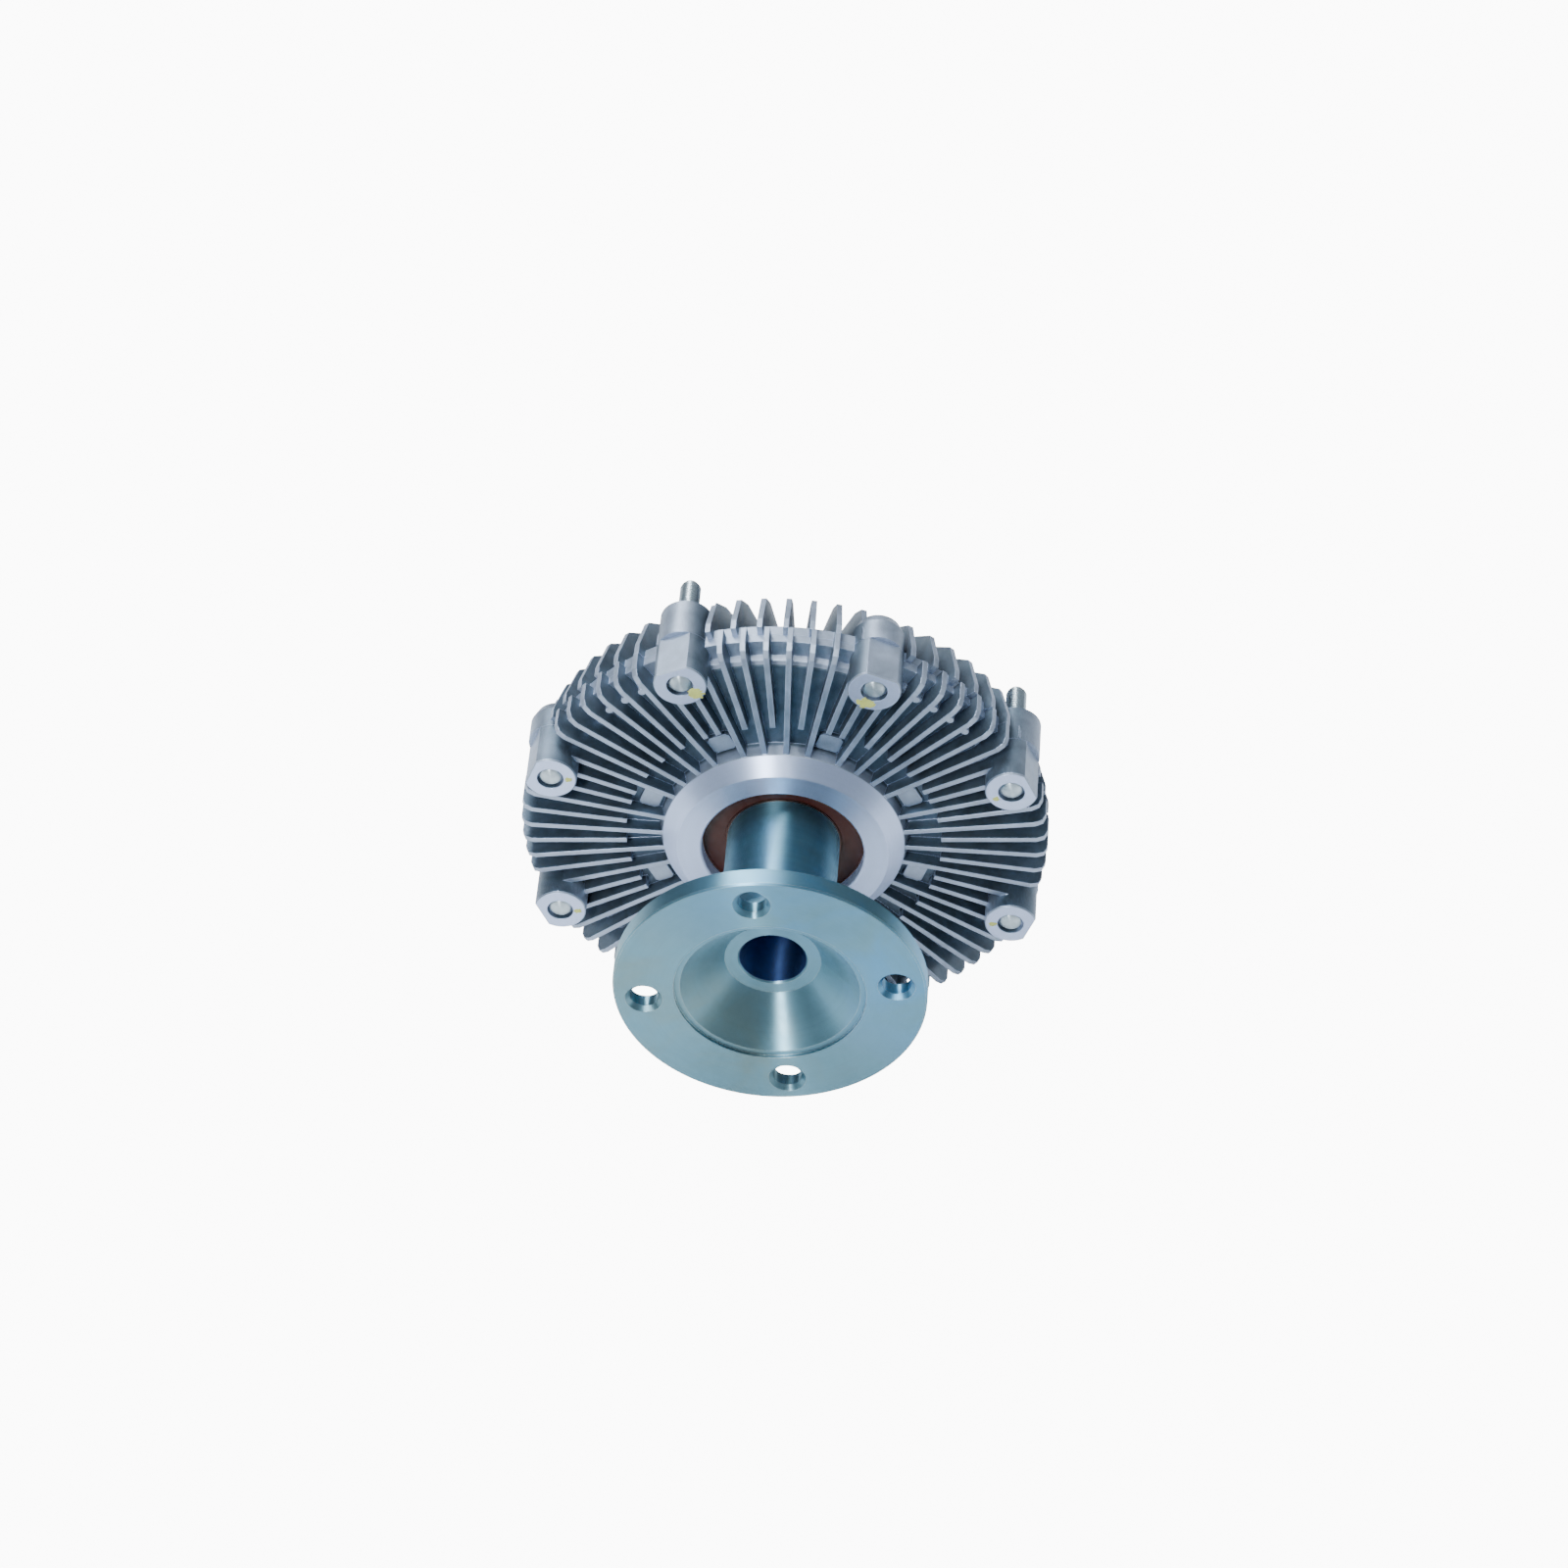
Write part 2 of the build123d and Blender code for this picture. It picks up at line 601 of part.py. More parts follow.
divider_seat_radius = divider_radius + divider_clearance
ledge_slope = (cover_shoulder_y - cover_wall_y) / (drum_radius - cover_shoulder_radius)
chamber_lip_radius = chamber_radius - (divider_y - chamber_shoulder_y) / ledge_slope
with BuildPart() as cover:
    with BuildSketch(Plane.XY):
        with BuildLine():
            Polyline(
                (0, valve_boss_inner_y),
                (valve_boss_radius, valve_boss_inner_y),
                (valve_boss_radius, reservoir_floor_y),
                (reservoir_floor_radius, reservoir_floor_y),
                (reservoir_radius, reservoir_rim_y),
                (reservoir_radius, divider_back_y),
                (divider_seat_radius, divider_back_y),
                (divider_seat_radius, divider_y),
                (chamber_lip_radius, divider_y),
                (chamber_radius, chamber_shoulder_y),
                (chamber_radius, seam_y),
                (rim_radius, seam_y),
                (rim_radius, rim_back_y),
                (drum_radius, rim_back_y),
                (drum_radius, cover_wall_y),
                (cover_shoulder_radius, cover_shoulder_y),
                (cover_cone_radius, cover_cone_y),
                (cover_pad_radius, cover_pad_y),
                (valve_boss_radius, cover_pad_y),
                (valve_boss_radius, valve_boss_y),
                (0, valve_boss_y),
                close=True,
            )
        make_face()
    revolve(axis=Axis.Y)
    add(cover_fins.part)
    with Locations(across(dome_boss_y)):
        with PolarLocations(boss_circle, boss_count // 2, start_angle=boss_turn + 360 / boss_count):
            add(dome_boss.part)
    with Locations(across(stud_boss_y)):
        with PolarLocations(boss_circle, boss_count // 2, start_angle=boss_turn):
            add(stud_boss.part)
    with BuildSketch(across(cover_fin_inner_y)):
        with PolarLocations(boss_circle, boss_count // 2, start_angle=boss_turn):
            Circle(stud_spot_radius)
    extrude(amount=cover_fin_inner_y - stud_boss_y, mode=Mode.SUBTRACT)
    with BuildSketch(across(chamber_shoulder_y)):
        Circle(chamber_radius)
    extrude(amount=chamber_shoulder_y - seam_y, mode=Mode.SUBTRACT)
    with BuildSketch(across(stud_boss_y)):
        with PolarLocations(boss_circle, boss_count // 2, start_angle=boss_turn):
            Circle(screw_radius + screw_clearance)
    extrude(amount=stud_boss_y - seam_y, mode=Mode.SUBTRACT)
    with BuildSketch(across(dome_boss_y - dome_wall)):
        with PolarLocations(boss_circle, boss_count // 2, start_angle=boss_turn + 360 / boss_count):
            Circle(screw_radius + screw_clearance)
    extrude(amount=dome_boss_y - dome_wall - seam_y, mode=Mode.SUBTRACT)
    with BuildSketch(across(valve_boss_y)):
        Circle(valve_shaft_radius + valve_clearance)
    extrude(amount=valve_boss_y - valve_boss_inner_y, mode=Mode.SUBTRACT)
    with BuildSketch(Plane.XY):
        with Locations((valve_shaft_radius, valve_o_ring_y)):
            Rectangle(4 * (o_ring_radius + o_ring_clearance), o_ring_groove_width)
    revolve(axis=Axis.Y, mode=Mode.SUBTRACT)
    with BuildSketch(across(divider_back_y + divider_screw_length)):
        with PolarLocations(divider_screw_circle, divider_screw_count, start_angle=divider_screw_turn):
            Circle(divider_screw_radius + screw_clearance)
    extrude(amount=divider_screw_length, mode=Mode.SUBTRACT)
    with BuildSketch(across(cover_pad_y)):
        with Locations((0, bracket_screw_circle)):
            Circle(bracket_screw_radius + screw_clearance)
    extrude(amount=bracket_screw_depth, mode=Mode.SUBTRACT)
finish(cover, "cover")

# Studs and bolts in the bosses, both with a chamfered end in the pockets on the pump side; a stud's
# threaded end is thinner than its shank, whose shoulder stands just clear of the fan's seat
for number in range(1, boss_count + 1):
    turn = boss_turn + (number - 1) * 360 / boss_count
    carries_fan = number % 2 == 1
    shank_back_y = stud_boss_y + stud_shoulder if carries_fan else dome_boss_y - dome_wall - screw_clearance
    with BuildPart() as boss_screw:
        with BuildSketch(across(shank_back_y, turn)):
            with Locations((boss_circle, 0)):
                Circle(screw_radius)
        extrude(amount=shank_back_y - screw_end_y)
        chamfer(boss_screw.edges().group_by(Axis.Y)[0], length=screw_end_chamfer)
        if carries_fan:
            with BuildSketch(across(stud_boss_y + stud_reach, turn)):
                with Locations((boss_circle, 0)):
                    Circle(stud_radius)
            extrude(amount=stud_reach - stud_shoulder)
        chamfer(boss_screw.edges().group_by(Axis.Y)[-1], length=stud_tip_chamfer)
    name = "fan_stud" if carries_fan else "cover_bolt"
    finish(boss_screw, f"{name}_{(number + 1) // 2}")

# Seals between the casting halves and round the valve shaft
with BuildPart() as cover_o_ring:
    with BuildSketch(Plane.XY):
        with Locations((cover_o_ring_circle, seam_y - o_ring_radius - o_ring_clearance)):
            RegularPolygon(o_ring_radius, o_ring_flats)
    revolve(axis=Axis.Y)
finish(cover_o_ring, "cover_o_ring")

with BuildPart() as valve_o_ring:
    with BuildSketch(Plane.XY):
        with Locations((valve_shaft_radius + o_ring_radius + o_ring_clearance, valve_o_ring_y)):
            RegularPolygon(o_ring_radius, o_ring_flats)
    revolve(axis=Axis.Y)
finish(valve_o_ring, "valve_o_ring")

# Divider plate between the working chamber and the reservoir, with the valve's port and stops
stop_lead = degrees(asin((arm_width / 2 + stop_radius + stop_gap) / stop_circle))
with BuildPart() as divider_plate:
    with BuildSketch(across(divider_back_y)):
        Circle(divider_radius)
        with PolarLocations(divider_screw_circle, divider_screw_count, start_angle=divider_screw_turn):
            Circle(divider_screw_radius + screw_clearance, mode=Mode.SUBTRACT)
        with Locations((0, port_circle)):
            Circle(port_radius, mode=Mode.SUBTRACT)
        with Locations((0, -return_circle)):
            Circle(return_radius, mode=Mode.SUBTRACT)
    extrude(amount=divider_thickness)
    for stop_turn in (90 - stop_lead, 90 + valve_range + stop_lead):
        with BuildSketch(across(divider_back_y + stop_height, stop_turn)):
            with Locations((stop_circle, 0)):
                Circle(stop_radius)
        extrude(amount=stop_height)
finish(divider_plate, "divider_plate")

for number in range(1, divider_screw_count + 1):
    turn = divider_screw_turn + (number - 1) * 360 / divider_screw_count
    with BuildPart() as divider_screw:
        with BuildSketch(across(divider_back_y + divider_screw_length - screw_clearance, turn)):
            with Locations((divider_screw_circle, 0)):
                Circle(divider_screw_radius)
        extrude(amount=divider_thickness + divider_screw_length - screw_clearance)
        with BuildSketch(across(divider_y, turn)):
            with Locations((divider_screw_circle, 0)):
                Circle(divider_screw_head_radius)
        extrude(amount=divider_screw_head_height)
    finish(divider_screw, f"divider_screw_{number}")

# Wiper that scoops the fluid back at the rotor's rim
with BuildPart() as pump_wiper:
    with BuildSketch(across(wiper_y + wiper_width)):
        Circle(chamber_radius - wiper_clearance)
        Circle(chamber_radius - wiper_clearance - wiper_thickness, mode=Mode.SUBTRACT)
        with Locations((0, -chamber_radius)):
            Rectangle(wiper_length, 4 * wiper_thickness, mode=Mode.INTERSECT)
    extrude(amount=wiper_width)
finish(pump_wiper, "pump_wiper")

# Valve: an arm that covers the port and the shaft that the coil turns
arm_back_y = divider_back_y + arm_gap + arm_thickness
with BuildPart() as valve_arm:
    with BuildSketch(across(arm_back_y)):
        Circle(arm_hub_radius)
        with Locations((0, port_circle / 2)):
            Rectangle(arm_width, port_circle)
        with Locations((0, port_circle)):
            Circle(arm_tip_radius)
        Circle(arm_seat_radius + seat_clearance, mode=Mode.SUBTRACT)
    extrude(amount=arm_thickness)
finish(valve_arm, "valve_arm")

valve_shaft_end_y = valve_boss_y + valve_shaft_reach
with BuildPart() as valve_shaft:
    with BuildSketch(across(valve_shaft_end_y)):
        Circle(valve_shaft_radius)
    extrude(amount=valve_shaft_end_y - arm_back_y)
    chamfer(valve_shaft.edges().group_by(Axis.Y)[-1], length=valve_shaft_chamfer)
    with BuildSketch(across(arm_back_y)):
        Circle(arm_seat_radius)
    extrude(amount=arm_thickness)
finish(valve_shaft, "valve_shaft")

# Bimetal coil: half turns about two centres, wound out from an eye round the valve shaft to a tongue
coil_eye_radius = valve_shaft_radius + coil_clearance + coil_strip / 2
coil_end_radius = coil_eye_radius + coil_half_turns * coil_pitch / 2
with BuildPart() as bimetal_coil:
    with BuildSketch(across(coil_y + coil_width, 90)):
        with BuildLine():
            for side in (-0.5, 0.5):
                for half_turn in range(coil_half_turns):
                    odd = half_turn % 2
                    arc_radius = coil_eye_radius + half_turn * coil_pitch / 2 + side * coil_strip
                    CenterArc((odd * coil_pitch / 2, 0), arc_radius, odd * 180, 180)
            Line((coil_eye_radius - coil_strip / 2, 0), (coil_eye_radius + coil_strip / 2, 0))
            Polyline(
                (coil_end_radius - coil_strip / 2, 0),
                (coil_end_radius - coil_strip / 2, coil_strip),
                (coil_tongue_radius, coil_strip),
                (coil_tongue_radius, 0),
                (coil_end_radius + coil_strip / 2, 0),
            )
        make_face()
    extrude(amount=coil_width)
finish(bimetal_coil, "bimetal_coil")

# Bracket that holds the coil's tongue, folded from strip and screwed to the cover's pad
bracket_top_y = cover_pad_y + bracket_rise
with BuildPart() as coil_bracket:
    with BuildSketch(Plane.YZ):
        with BuildLine():
            Polyline(
                (cover_pad_y, bracket_radius),
                (bracket_top_y, bracket_radius),
                (bracket_top_y, bracket_radius + bracket_strip),
                (cover_pad_y + bracket_strip, bracket_radius + bracket_strip),
                (cover_pad_y + bracket_strip, bracket_foot_radius),
                (cover_pad_y, bracket_foot_radius),
                close=True,
            )
        strip = make_face()
        fillet(strip.vertices().sort_by_distance((cover_pad_y, bracket_radius))[0], radius=bracket_bend)
    extrude(amount=bracket_width / 2, both=True)
    with BuildSketch(across(bracket_top_y, 90)):
        with Locations((bracket_radius + bracket_strip / 2, coil_strip / 2)):
            Rectangle(2 * bracket_strip, coil_strip + 2 * bracket_notch_clearance)
    extrude(amount=bracket_top_y - coil_y + bracket_notch_clearance, mode=Mode.SUBTRACT)
    with BuildSketch(across(cover_pad_y + bracket_strip)):
        with Locations((0, bracket_screw_circle)):
            Circle(bracket_screw_radius + screw_clearance)
    extrude(amount=bracket_strip, mode=Mode.SUBTRACT)
finish(coil_bracket, "coil_bracket")

with BuildPart() as coil_bracket_screw:
    head_top_y = cover_pad_y + bracket_strip + bracket_screw_head_height
    with BuildSketch(across(head_top_y)):
        with Locations((0, bracket_screw_circle)):
            Circle(bracket_screw_head_radius)
    extrude(amount=bracket_screw_head_height)
    chamfer(coil_bracket_screw.edges().group_by(Axis.Y)[-1], length=bracket_screw_head_height / 4)
    with BuildSketch(across(cover_pad_y + bracket_strip)):
        with Locations((0, bracket_screw_circle)):
            Circle(bracket_screw_radius)
    extrude(amount=bracket_strip + bracket_screw_depth - screw_clearance)
finish(coil_bracket_screw, "coil_bracket_screw")
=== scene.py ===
"""Dresses a packed viscous fan clutch: finishes, screws, paint marks, camera, floor and studio light."""

import math
import random

import bmesh
import bpy
from bpy.props import FloatProperty, FloatVectorProperty, IntProperty, PointerProperty
from mathutils import Matrix, Vector


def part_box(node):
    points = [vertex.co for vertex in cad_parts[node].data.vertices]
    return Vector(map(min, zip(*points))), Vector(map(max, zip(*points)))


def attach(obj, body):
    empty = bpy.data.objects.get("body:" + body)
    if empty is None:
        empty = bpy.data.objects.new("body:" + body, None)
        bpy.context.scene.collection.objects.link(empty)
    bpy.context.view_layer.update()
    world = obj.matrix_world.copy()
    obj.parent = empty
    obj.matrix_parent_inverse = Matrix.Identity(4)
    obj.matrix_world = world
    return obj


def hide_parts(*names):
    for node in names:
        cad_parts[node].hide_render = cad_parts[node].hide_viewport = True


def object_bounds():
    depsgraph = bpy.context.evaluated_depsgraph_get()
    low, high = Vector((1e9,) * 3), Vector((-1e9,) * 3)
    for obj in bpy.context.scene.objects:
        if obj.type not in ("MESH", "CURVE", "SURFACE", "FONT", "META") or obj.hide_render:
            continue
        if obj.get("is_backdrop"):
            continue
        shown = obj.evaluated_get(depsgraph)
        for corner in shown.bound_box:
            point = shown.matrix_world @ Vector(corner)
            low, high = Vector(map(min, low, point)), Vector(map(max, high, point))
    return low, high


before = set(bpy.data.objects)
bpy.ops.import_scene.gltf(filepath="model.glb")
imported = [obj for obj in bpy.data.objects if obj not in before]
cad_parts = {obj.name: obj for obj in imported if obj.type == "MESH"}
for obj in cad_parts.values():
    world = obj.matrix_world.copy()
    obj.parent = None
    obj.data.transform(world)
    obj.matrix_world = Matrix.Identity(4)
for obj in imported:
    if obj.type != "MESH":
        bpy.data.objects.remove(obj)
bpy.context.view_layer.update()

bl_info = {
    "name": "Viscous Fan Clutch",
    "version": (1, 0, 0),
    "blender": (4, 5, 0),
    "location": "3D View > Sidebar > Fan Clutch",
    "description": "Finishes, screws, paint marks and a studio for a viscous fan clutch",
    "category": "Object",
}

MM = 0.001
SCREWS_PER_KIND = 4

# Where the castings are machined, the radius of the shaft's bore, which is painted dark as shade, and how far
# behind the boss faces the floor between the housing's fins lies, out to the radius inside which painted shade
# fills between them
HUB_TURNED_RADIUS = 46.6 * MM
COVER_TURNED_RADIUS = 9.2 * MM
BORE_RADIUS = 12.8 * MM
FIN_FLOOR_DEPTH = 10.6 * MM
FIN_FLOOR_RADIUS = 88.0 * MM
FACE_TOLERANCE = 0.05 * MM

# Spacing of the lathe marks, and the bend past which an edge is shaded sharp
SHAFT_RINGS = 0.3 * MM
SCREW_RINGS = 0.15 * MM
CASTING_RINGS = 0.22 * MM
GROUND_RINGS = 0.12 * MM
SMOOTH_ANGLE = math.radians(40)

# How far a highlight stretches on turned metal, and the quarter turn that lays it across the lathe marks
TURNED_STRETCH = 0.9
CASTING_STRETCH = 0.85
ACROSS_MARKS = 0.25

# Boss screws
ROWS_PER_PITCH = 4
DOME_ROWS = 10
SHOULDER_GAP = 0.3 * MM
SHOULDER_STEP = 0.01 * MM
THREAD_GAP = 0.1 * MM
RUNOUT_ROWS = 5
RUNOUT_DEPTH = 0.35 * MM
TIP_CHAMFER = 0.5 * MM
THREAD_CRESTS = (1.0, 1.0, 0.35, 0.0)

# Paint marks: the two fresh ones, and how far each leans from the line to the shaft's axis, in degrees
FRESH_MARKS = (2, 3)
MARK_LEANS = (10, -6, 34, 20, -25, 15, -12, 25)
DAB_SIDES = 28
DAB_LEVELS = ((1.0, 0.0), (0.93, 0.75), (0.7, 1.0), (0.35, 0.85))

# Stage
FLOOR_SIZE = 8.0
FLOOR_GAP = 0.5 * MM
FLOOR_GLOW = 12.0
FLOOR_GLOW_SHARE = 0.9
BACKDROP_GLOW = 11.0
LIGHTS = (
    ("overhead_strip", (-0.28, 0.5, 1.3), (0.18, 1.6), 30.0, (0.97, 0.99, 1.0)),
    ("front_strip", (-0.6, -1.5, 1.65), (0.12, 0.9), 44.0, (0.97, 0.99, 1.0)),
    ("low_softbox", (-0.7, -1.7, 0.7), (0.9, 0.9), 3.0, (0.9, 0.96, 1.0)),
)


# Places read from the frame

def middle(node):
    """Centre of a CAD node's box."""
    low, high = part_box(node)
    return (low + high) / 2


def boss_screws():
    """Names of the eight screws round the rim, in order of their angle."""
    numbers = range(1, SCREWS_PER_KIND + 1)
    return [f"{kind}_{number}" for number in numbers for kind in ("fan_stud", "cover_bolt")]


BOSS_FACE_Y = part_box("housing")[0].y


# Sizes and colours that a user would change

def length(name, default, description):
    """Length property in metres."""
    return FloatProperty(
        name=name, description=description, default=default, min=0.0, unit="LENGTH", precision=5
    )


def colour(name, default, description):
    """Linear colour property."""
    return FloatVectorProperty(
        name=name, description=description, default=default, size=3, subtype="COLOR", min=0.0, max=1.0
    )


class FastenerSizes(bpy.types.PropertyGroup):
    """Sizes of the screws in the bosses, and of the studs' threads."""

    pitch: length("Thread pitch", 1.25 * MM, "Distance between two thread crests")
    depth: length("Thread depth", 0.62 * MM, "Height of the thread from root to crest")
    thread_radius: length("Thread radius", 4.0 * MM, "Radius of a stud's threaded end")
    thread_length: length("Thread length", 16.7 * MM, "Threaded part of the stud, from its tip")
    dome: length("Dome", 1.0 * MM, "Rise of the rounded end that shows in a boss's pocket")
    sides: IntProperty(name="Sides", description="Facets round a screw", default=36, min=12)


class PaintSizes(bpy.types.PropertyGroup):
    """Paint marks on the bosses."""

    radius: length("Mark radius", 2.4 * MM, "Rough radius of the marks on the two top bosses")
    worn_radius: length("Worn mark radius", 1.2 * MM, "Rough radius of what is left of the other marks")
    thickness: length("Paint thickness", 0.12 * MM, "How far the paint stands proud")
    offset: length("Offset", 6.9 * MM, "Distance of a mark from its screw's axis")


class CameraSettings(bpy.types.PropertyGroup):
    """Viewpoint of the photograph, round the centre of the bosses' front plane."""

    azimuth: FloatProperty(name="Azimuth", description="Turn round the clutch from straight ahead",
                           default=math.radians(5.134), subtype="ANGLE")
    elevation: FloatProperty(name="Elevation", description="Height above the horizon",
                             default=math.radians(45.317), subtype="ANGLE")
    roll: FloatProperty(name="Roll", description="Tilt of the picture",
                        default=math.radians(-1.948), subtype="ANGLE")
    distance: length("Distance", 2.1529, "Distance from the camera to the aim point")
    aim_right: length("Aim right", 0.557 * MM, "Shift of the aim point to the right")
    aim_up: length("Aim up", 26.154 * MM, "Shift of the aim point upwards")
    lens: FloatProperty(name="Lens", description="Focal length for a 36 mm wide sensor, in millimetres",
                        default=128.62)


class FinishColours(bpy.types.PropertyGroup):
    """Colours of the finishes, and of the painted shade on the fins, in the bore and on the bearing rings."""

    casting: colour("Casting", (0.46, 0.55, 0.70), "Die-cast aluminium")
    # Painted shade: the fins' sides and the floor between them are coloured this dark.
    flank: colour("Fin flanks", (0.115, 0.16, 0.215), "Painted shade on the sides of the fins and between them")
    machined: colour("Machined aluminium", (0.60, 0.72, 1.0), "Turned faces of the castings")
    zinc: colour("Zinc plating", (0.155, 0.32, 0.41), "Clear-passivated zinc on steel")
    zinc_olive: colour("Zinc tarnish", (0.20, 0.27, 0.25), "Olive bloom on the zinc")
    zinc_blue: colour("Zinc bloom", (0.11, 0.33, 0.58), "Blue bloom on the zinc")
    # Painted shade: the inside of the shaft's bore is coloured this dark.
    bore_shade: colour("Bore shade", (0.07, 0.13, 0.33), "Painted shade inside the shaft's bore")
    screw: colour("Screw plating", (0.56, 0.66, 0.72), "Bright zinc on the studs and bolts")
    seal: colour("Bearing seal", (0.052, 0.009, 0.004), "Brown rubber of the bearing's seals")
    bright: colour("Bearing steel", (0.62, 0.63, 0.64), "Ground steel")
    # Painted shade: the bearing rings in the seal's recess are coloured this dark brown.
    ring_shade: colour("Bearing ring", (0.16, 0.10, 0.085), "Bearing rings painted dark as the shade in the seal's recess")
    paint: colour("Paint mark", (0.55, 0.60, 0.16), "Yellow-green paint dabs")
    bimetal: colour("Bimetal", (0.52, 0.47, 0.38), "Rolled bimetal strip")
    floor: colour("Floor", (0.93, 0.94, 0.95), "Pale studio floor")


# Node building

def place(tree, kind, inputs=None, **settings):
    """Add a shader node with settings and with inputs given as values or as sockets to link."""
    made = tree.nodes.new(kind)
    for key, value in settings.items():
        setattr(made, key, value)
    for key, value in (inputs or {}).items():
        if isinstance(value, bpy.types.NodeSocket):
            tree.links.new(value, made.inputs[key])
        else:
            made.inputs[key].default_value = value
    return made


def maths(tree, operation, *values, clamp=False):
    """Output socket of a Math node over values or sockets."""
    made = place(tree, "ShaderNodeMath", dict(enumerate(values)), operation=operation, use_clamp=clamp)
    return made.outputs[0]


def blend_colours(tree, factor, first, second):
    """Output socket that mixes two colours by a mask."""
    made = tree.nodes.new("ShaderNodeMix")
    made.data_type = "RGBA"
    for index, value in ((0, factor), (6, first), (7, second)):
        if isinstance(value, bpy.types.NodeSocket):
            tree.links.new(value, made.inputs[index])
        else:
            made.inputs[index].default_value = (*value, 1.0) if index else value
    return made.outputs[2]


def group_tree(name, inputs, outputs):
    """Empty node group with float inputs (name to default) and outputs (name to socket type)."""
    tree = bpy.data.node_groups.new(name, "ShaderNodeTree")
    for key, default in inputs.items():
        socket = tree.interface.new_socket(name=key, in_out="INPUT", socket_type="NodeSocketFloat")
        socket.default_value = default
    for key, kind in outputs.items():
        tree.interface.new_socket(name=key, in_out="OUTPUT", socket_type=kind)
    return tree, tree.nodes.new("NodeGroupInput").outputs, tree.nodes.new("NodeGroupOutput").inputs


def use_group(tree, group, **inputs):
    """Place a node group and set its inputs; underscores stand for spaces."""
    made = place(tree, "ShaderNodeGroup", node_tree=group)
    for key, value in inputs.items():
        socket = made.inputs[key.replace("_", " ").capitalize()]
        if isinstance(value, bpy.types.NodeSocket):
            tree.links.new(value, socket)
        else:
            socket.default_value = value
    return made


def radius_and_depth(tree):
    """Sockets for the distance from the shaft's axis and the depth along it, in metres."""
    where = place(tree, "ShaderNodeTexCoord").outputs["Object"]
    split = place(tree, "ShaderNodeSeparateXYZ", {0: where}).outputs
    radius = maths(tree, "SQRT", maths(tree, "ADD", maths(tree, "MULTIPLY", split[0], split[0]),
                                       maths(tree, "MULTIPLY", split[2], split[2])))
    return radius, split[1]


def rounded_edges_group():
    """Rounded normals at edges, and a mask of where the edges are painted bright, partly as rubbed wear and partly
    as painted highlight.
    """
    tree, inputs, outputs = group_tree(
        "Rounded edges", {"Radius": 0.4 * MM, "Wear": 1.0},
        {"Edge wear and sheen": "NodeSocketFloat", "Normal": "NodeSocketVector"},
    )
    bevel = place(tree, "ShaderNodeBevel", {"Radius": inputs["Radius"]}, samples=3)
    flat = place(tree, "ShaderNodeNewGeometry").outputs["Normal"]
    dot = place(tree, "ShaderNodeVectorMath", {0: bevel.outputs[0], 1: flat}, operation="DOT_PRODUCT")
    bend = maths(tree, "MAXIMUM", maths(tree, "SUBTRACT", 0.97, dot.outputs["Value"]), 0.0)
    where = place(tree, "ShaderNodeTexCoord").outputs["Object"]
    patches = place(tree, "ShaderNodeTexNoise", {"Vector": where, "Scale": 420.0, "Detail": 3.0}).outputs[0]
    edge = maths(tree, "MULTIPLY", maths(tree, "MULTIPLY", bend, 9.0), maths(tree, "ADD", patches, 0.25))
    tree.links.new(maths(tree, "MULTIPLY", edge, inputs["Wear"], clamp=True), outputs["Edge wear and sheen"])
    tree.links.new(bevel.outputs[0], outputs["Normal"])
    return tree


def cast_skin_group():
    """Fine grain and blotches of a die-cast surface."""
    tree, inputs, outputs = group_tree(
        "Cast skin", {"Grain": 1500.0, "Blotch": 90.0},
        {"Height": "NodeSocketFloat", "Tone": "NodeSocketFloat"},
    )
    where = place(tree, "ShaderNodeTexCoord").outputs["Object"]
    grain = place(tree, "ShaderNodeTexNoise",
                  {"Vector": where, "Scale": inputs["Grain"], "Detail": 5.0}).outputs[0]
    pits = place(tree, "ShaderNodeTexVoronoi",
                 {"Vector": where, "Scale": inputs["Grain"]}).outputs["Distance"]
    blotch = place(tree, "ShaderNodeTexNoise", {"Vector": where, "Scale": inputs["Blotch"], "Detail": 4.0,
                                                 "Distortion": 0.6}).outputs[0]
    tree.links.new(maths(tree, "MULTIPLY_ADD", pits, 0.4, grain), outputs["Height"])
    spread = place(tree, "ShaderNodeMapRange", {"Value": blotch, "From Min": 0.3, "From Max": 0.7})
    tone = maths(tree, "MULTIPLY_ADD", grain, 0.35, maths(tree, "MULTIPLY", spread.outputs[0], 0.65))
    tree.links.new(tone, outputs["Tone"])
    return tree


def turned_marks_group():
    """Fine rings that a lathe leaves round the shaft's axis."""
    tree, inputs, outputs = group_tree(
        "Turned marks", {"Spacing": 0.25 * MM},
        {"Height": "NodeSocketFloat", "Tone": "NodeSocketFloat"},
    )
    radius, depth = radius_and_depth(tree)
    across = maths(tree, "DIVIDE", radius, inputs["Spacing"])
    along = maths(tree, "DIVIDE", depth, inputs["Spacing"])
    rings = place(tree, "ShaderNodeCombineXYZ", {0: across, 1: along}).outputs[0]
    fine = place(tree, "ShaderNodeTexNoise", {"Vector": rings, "Scale": 1.0, "Detail": 2.0}).outputs[0]
    broad = place(tree, "ShaderNodeTexNoise", {"Vector": rings, "Scale": 0.09, "Detail": 2.0}).outputs[0]
    tree.links.new(fine, outputs["Height"])
    tree.links.new(maths(tree, "MULTIPLY_ADD", fine, 0.4, maths(tree, "MULTIPLY", broad, 0.6)), outputs["Tone"])
    return tree


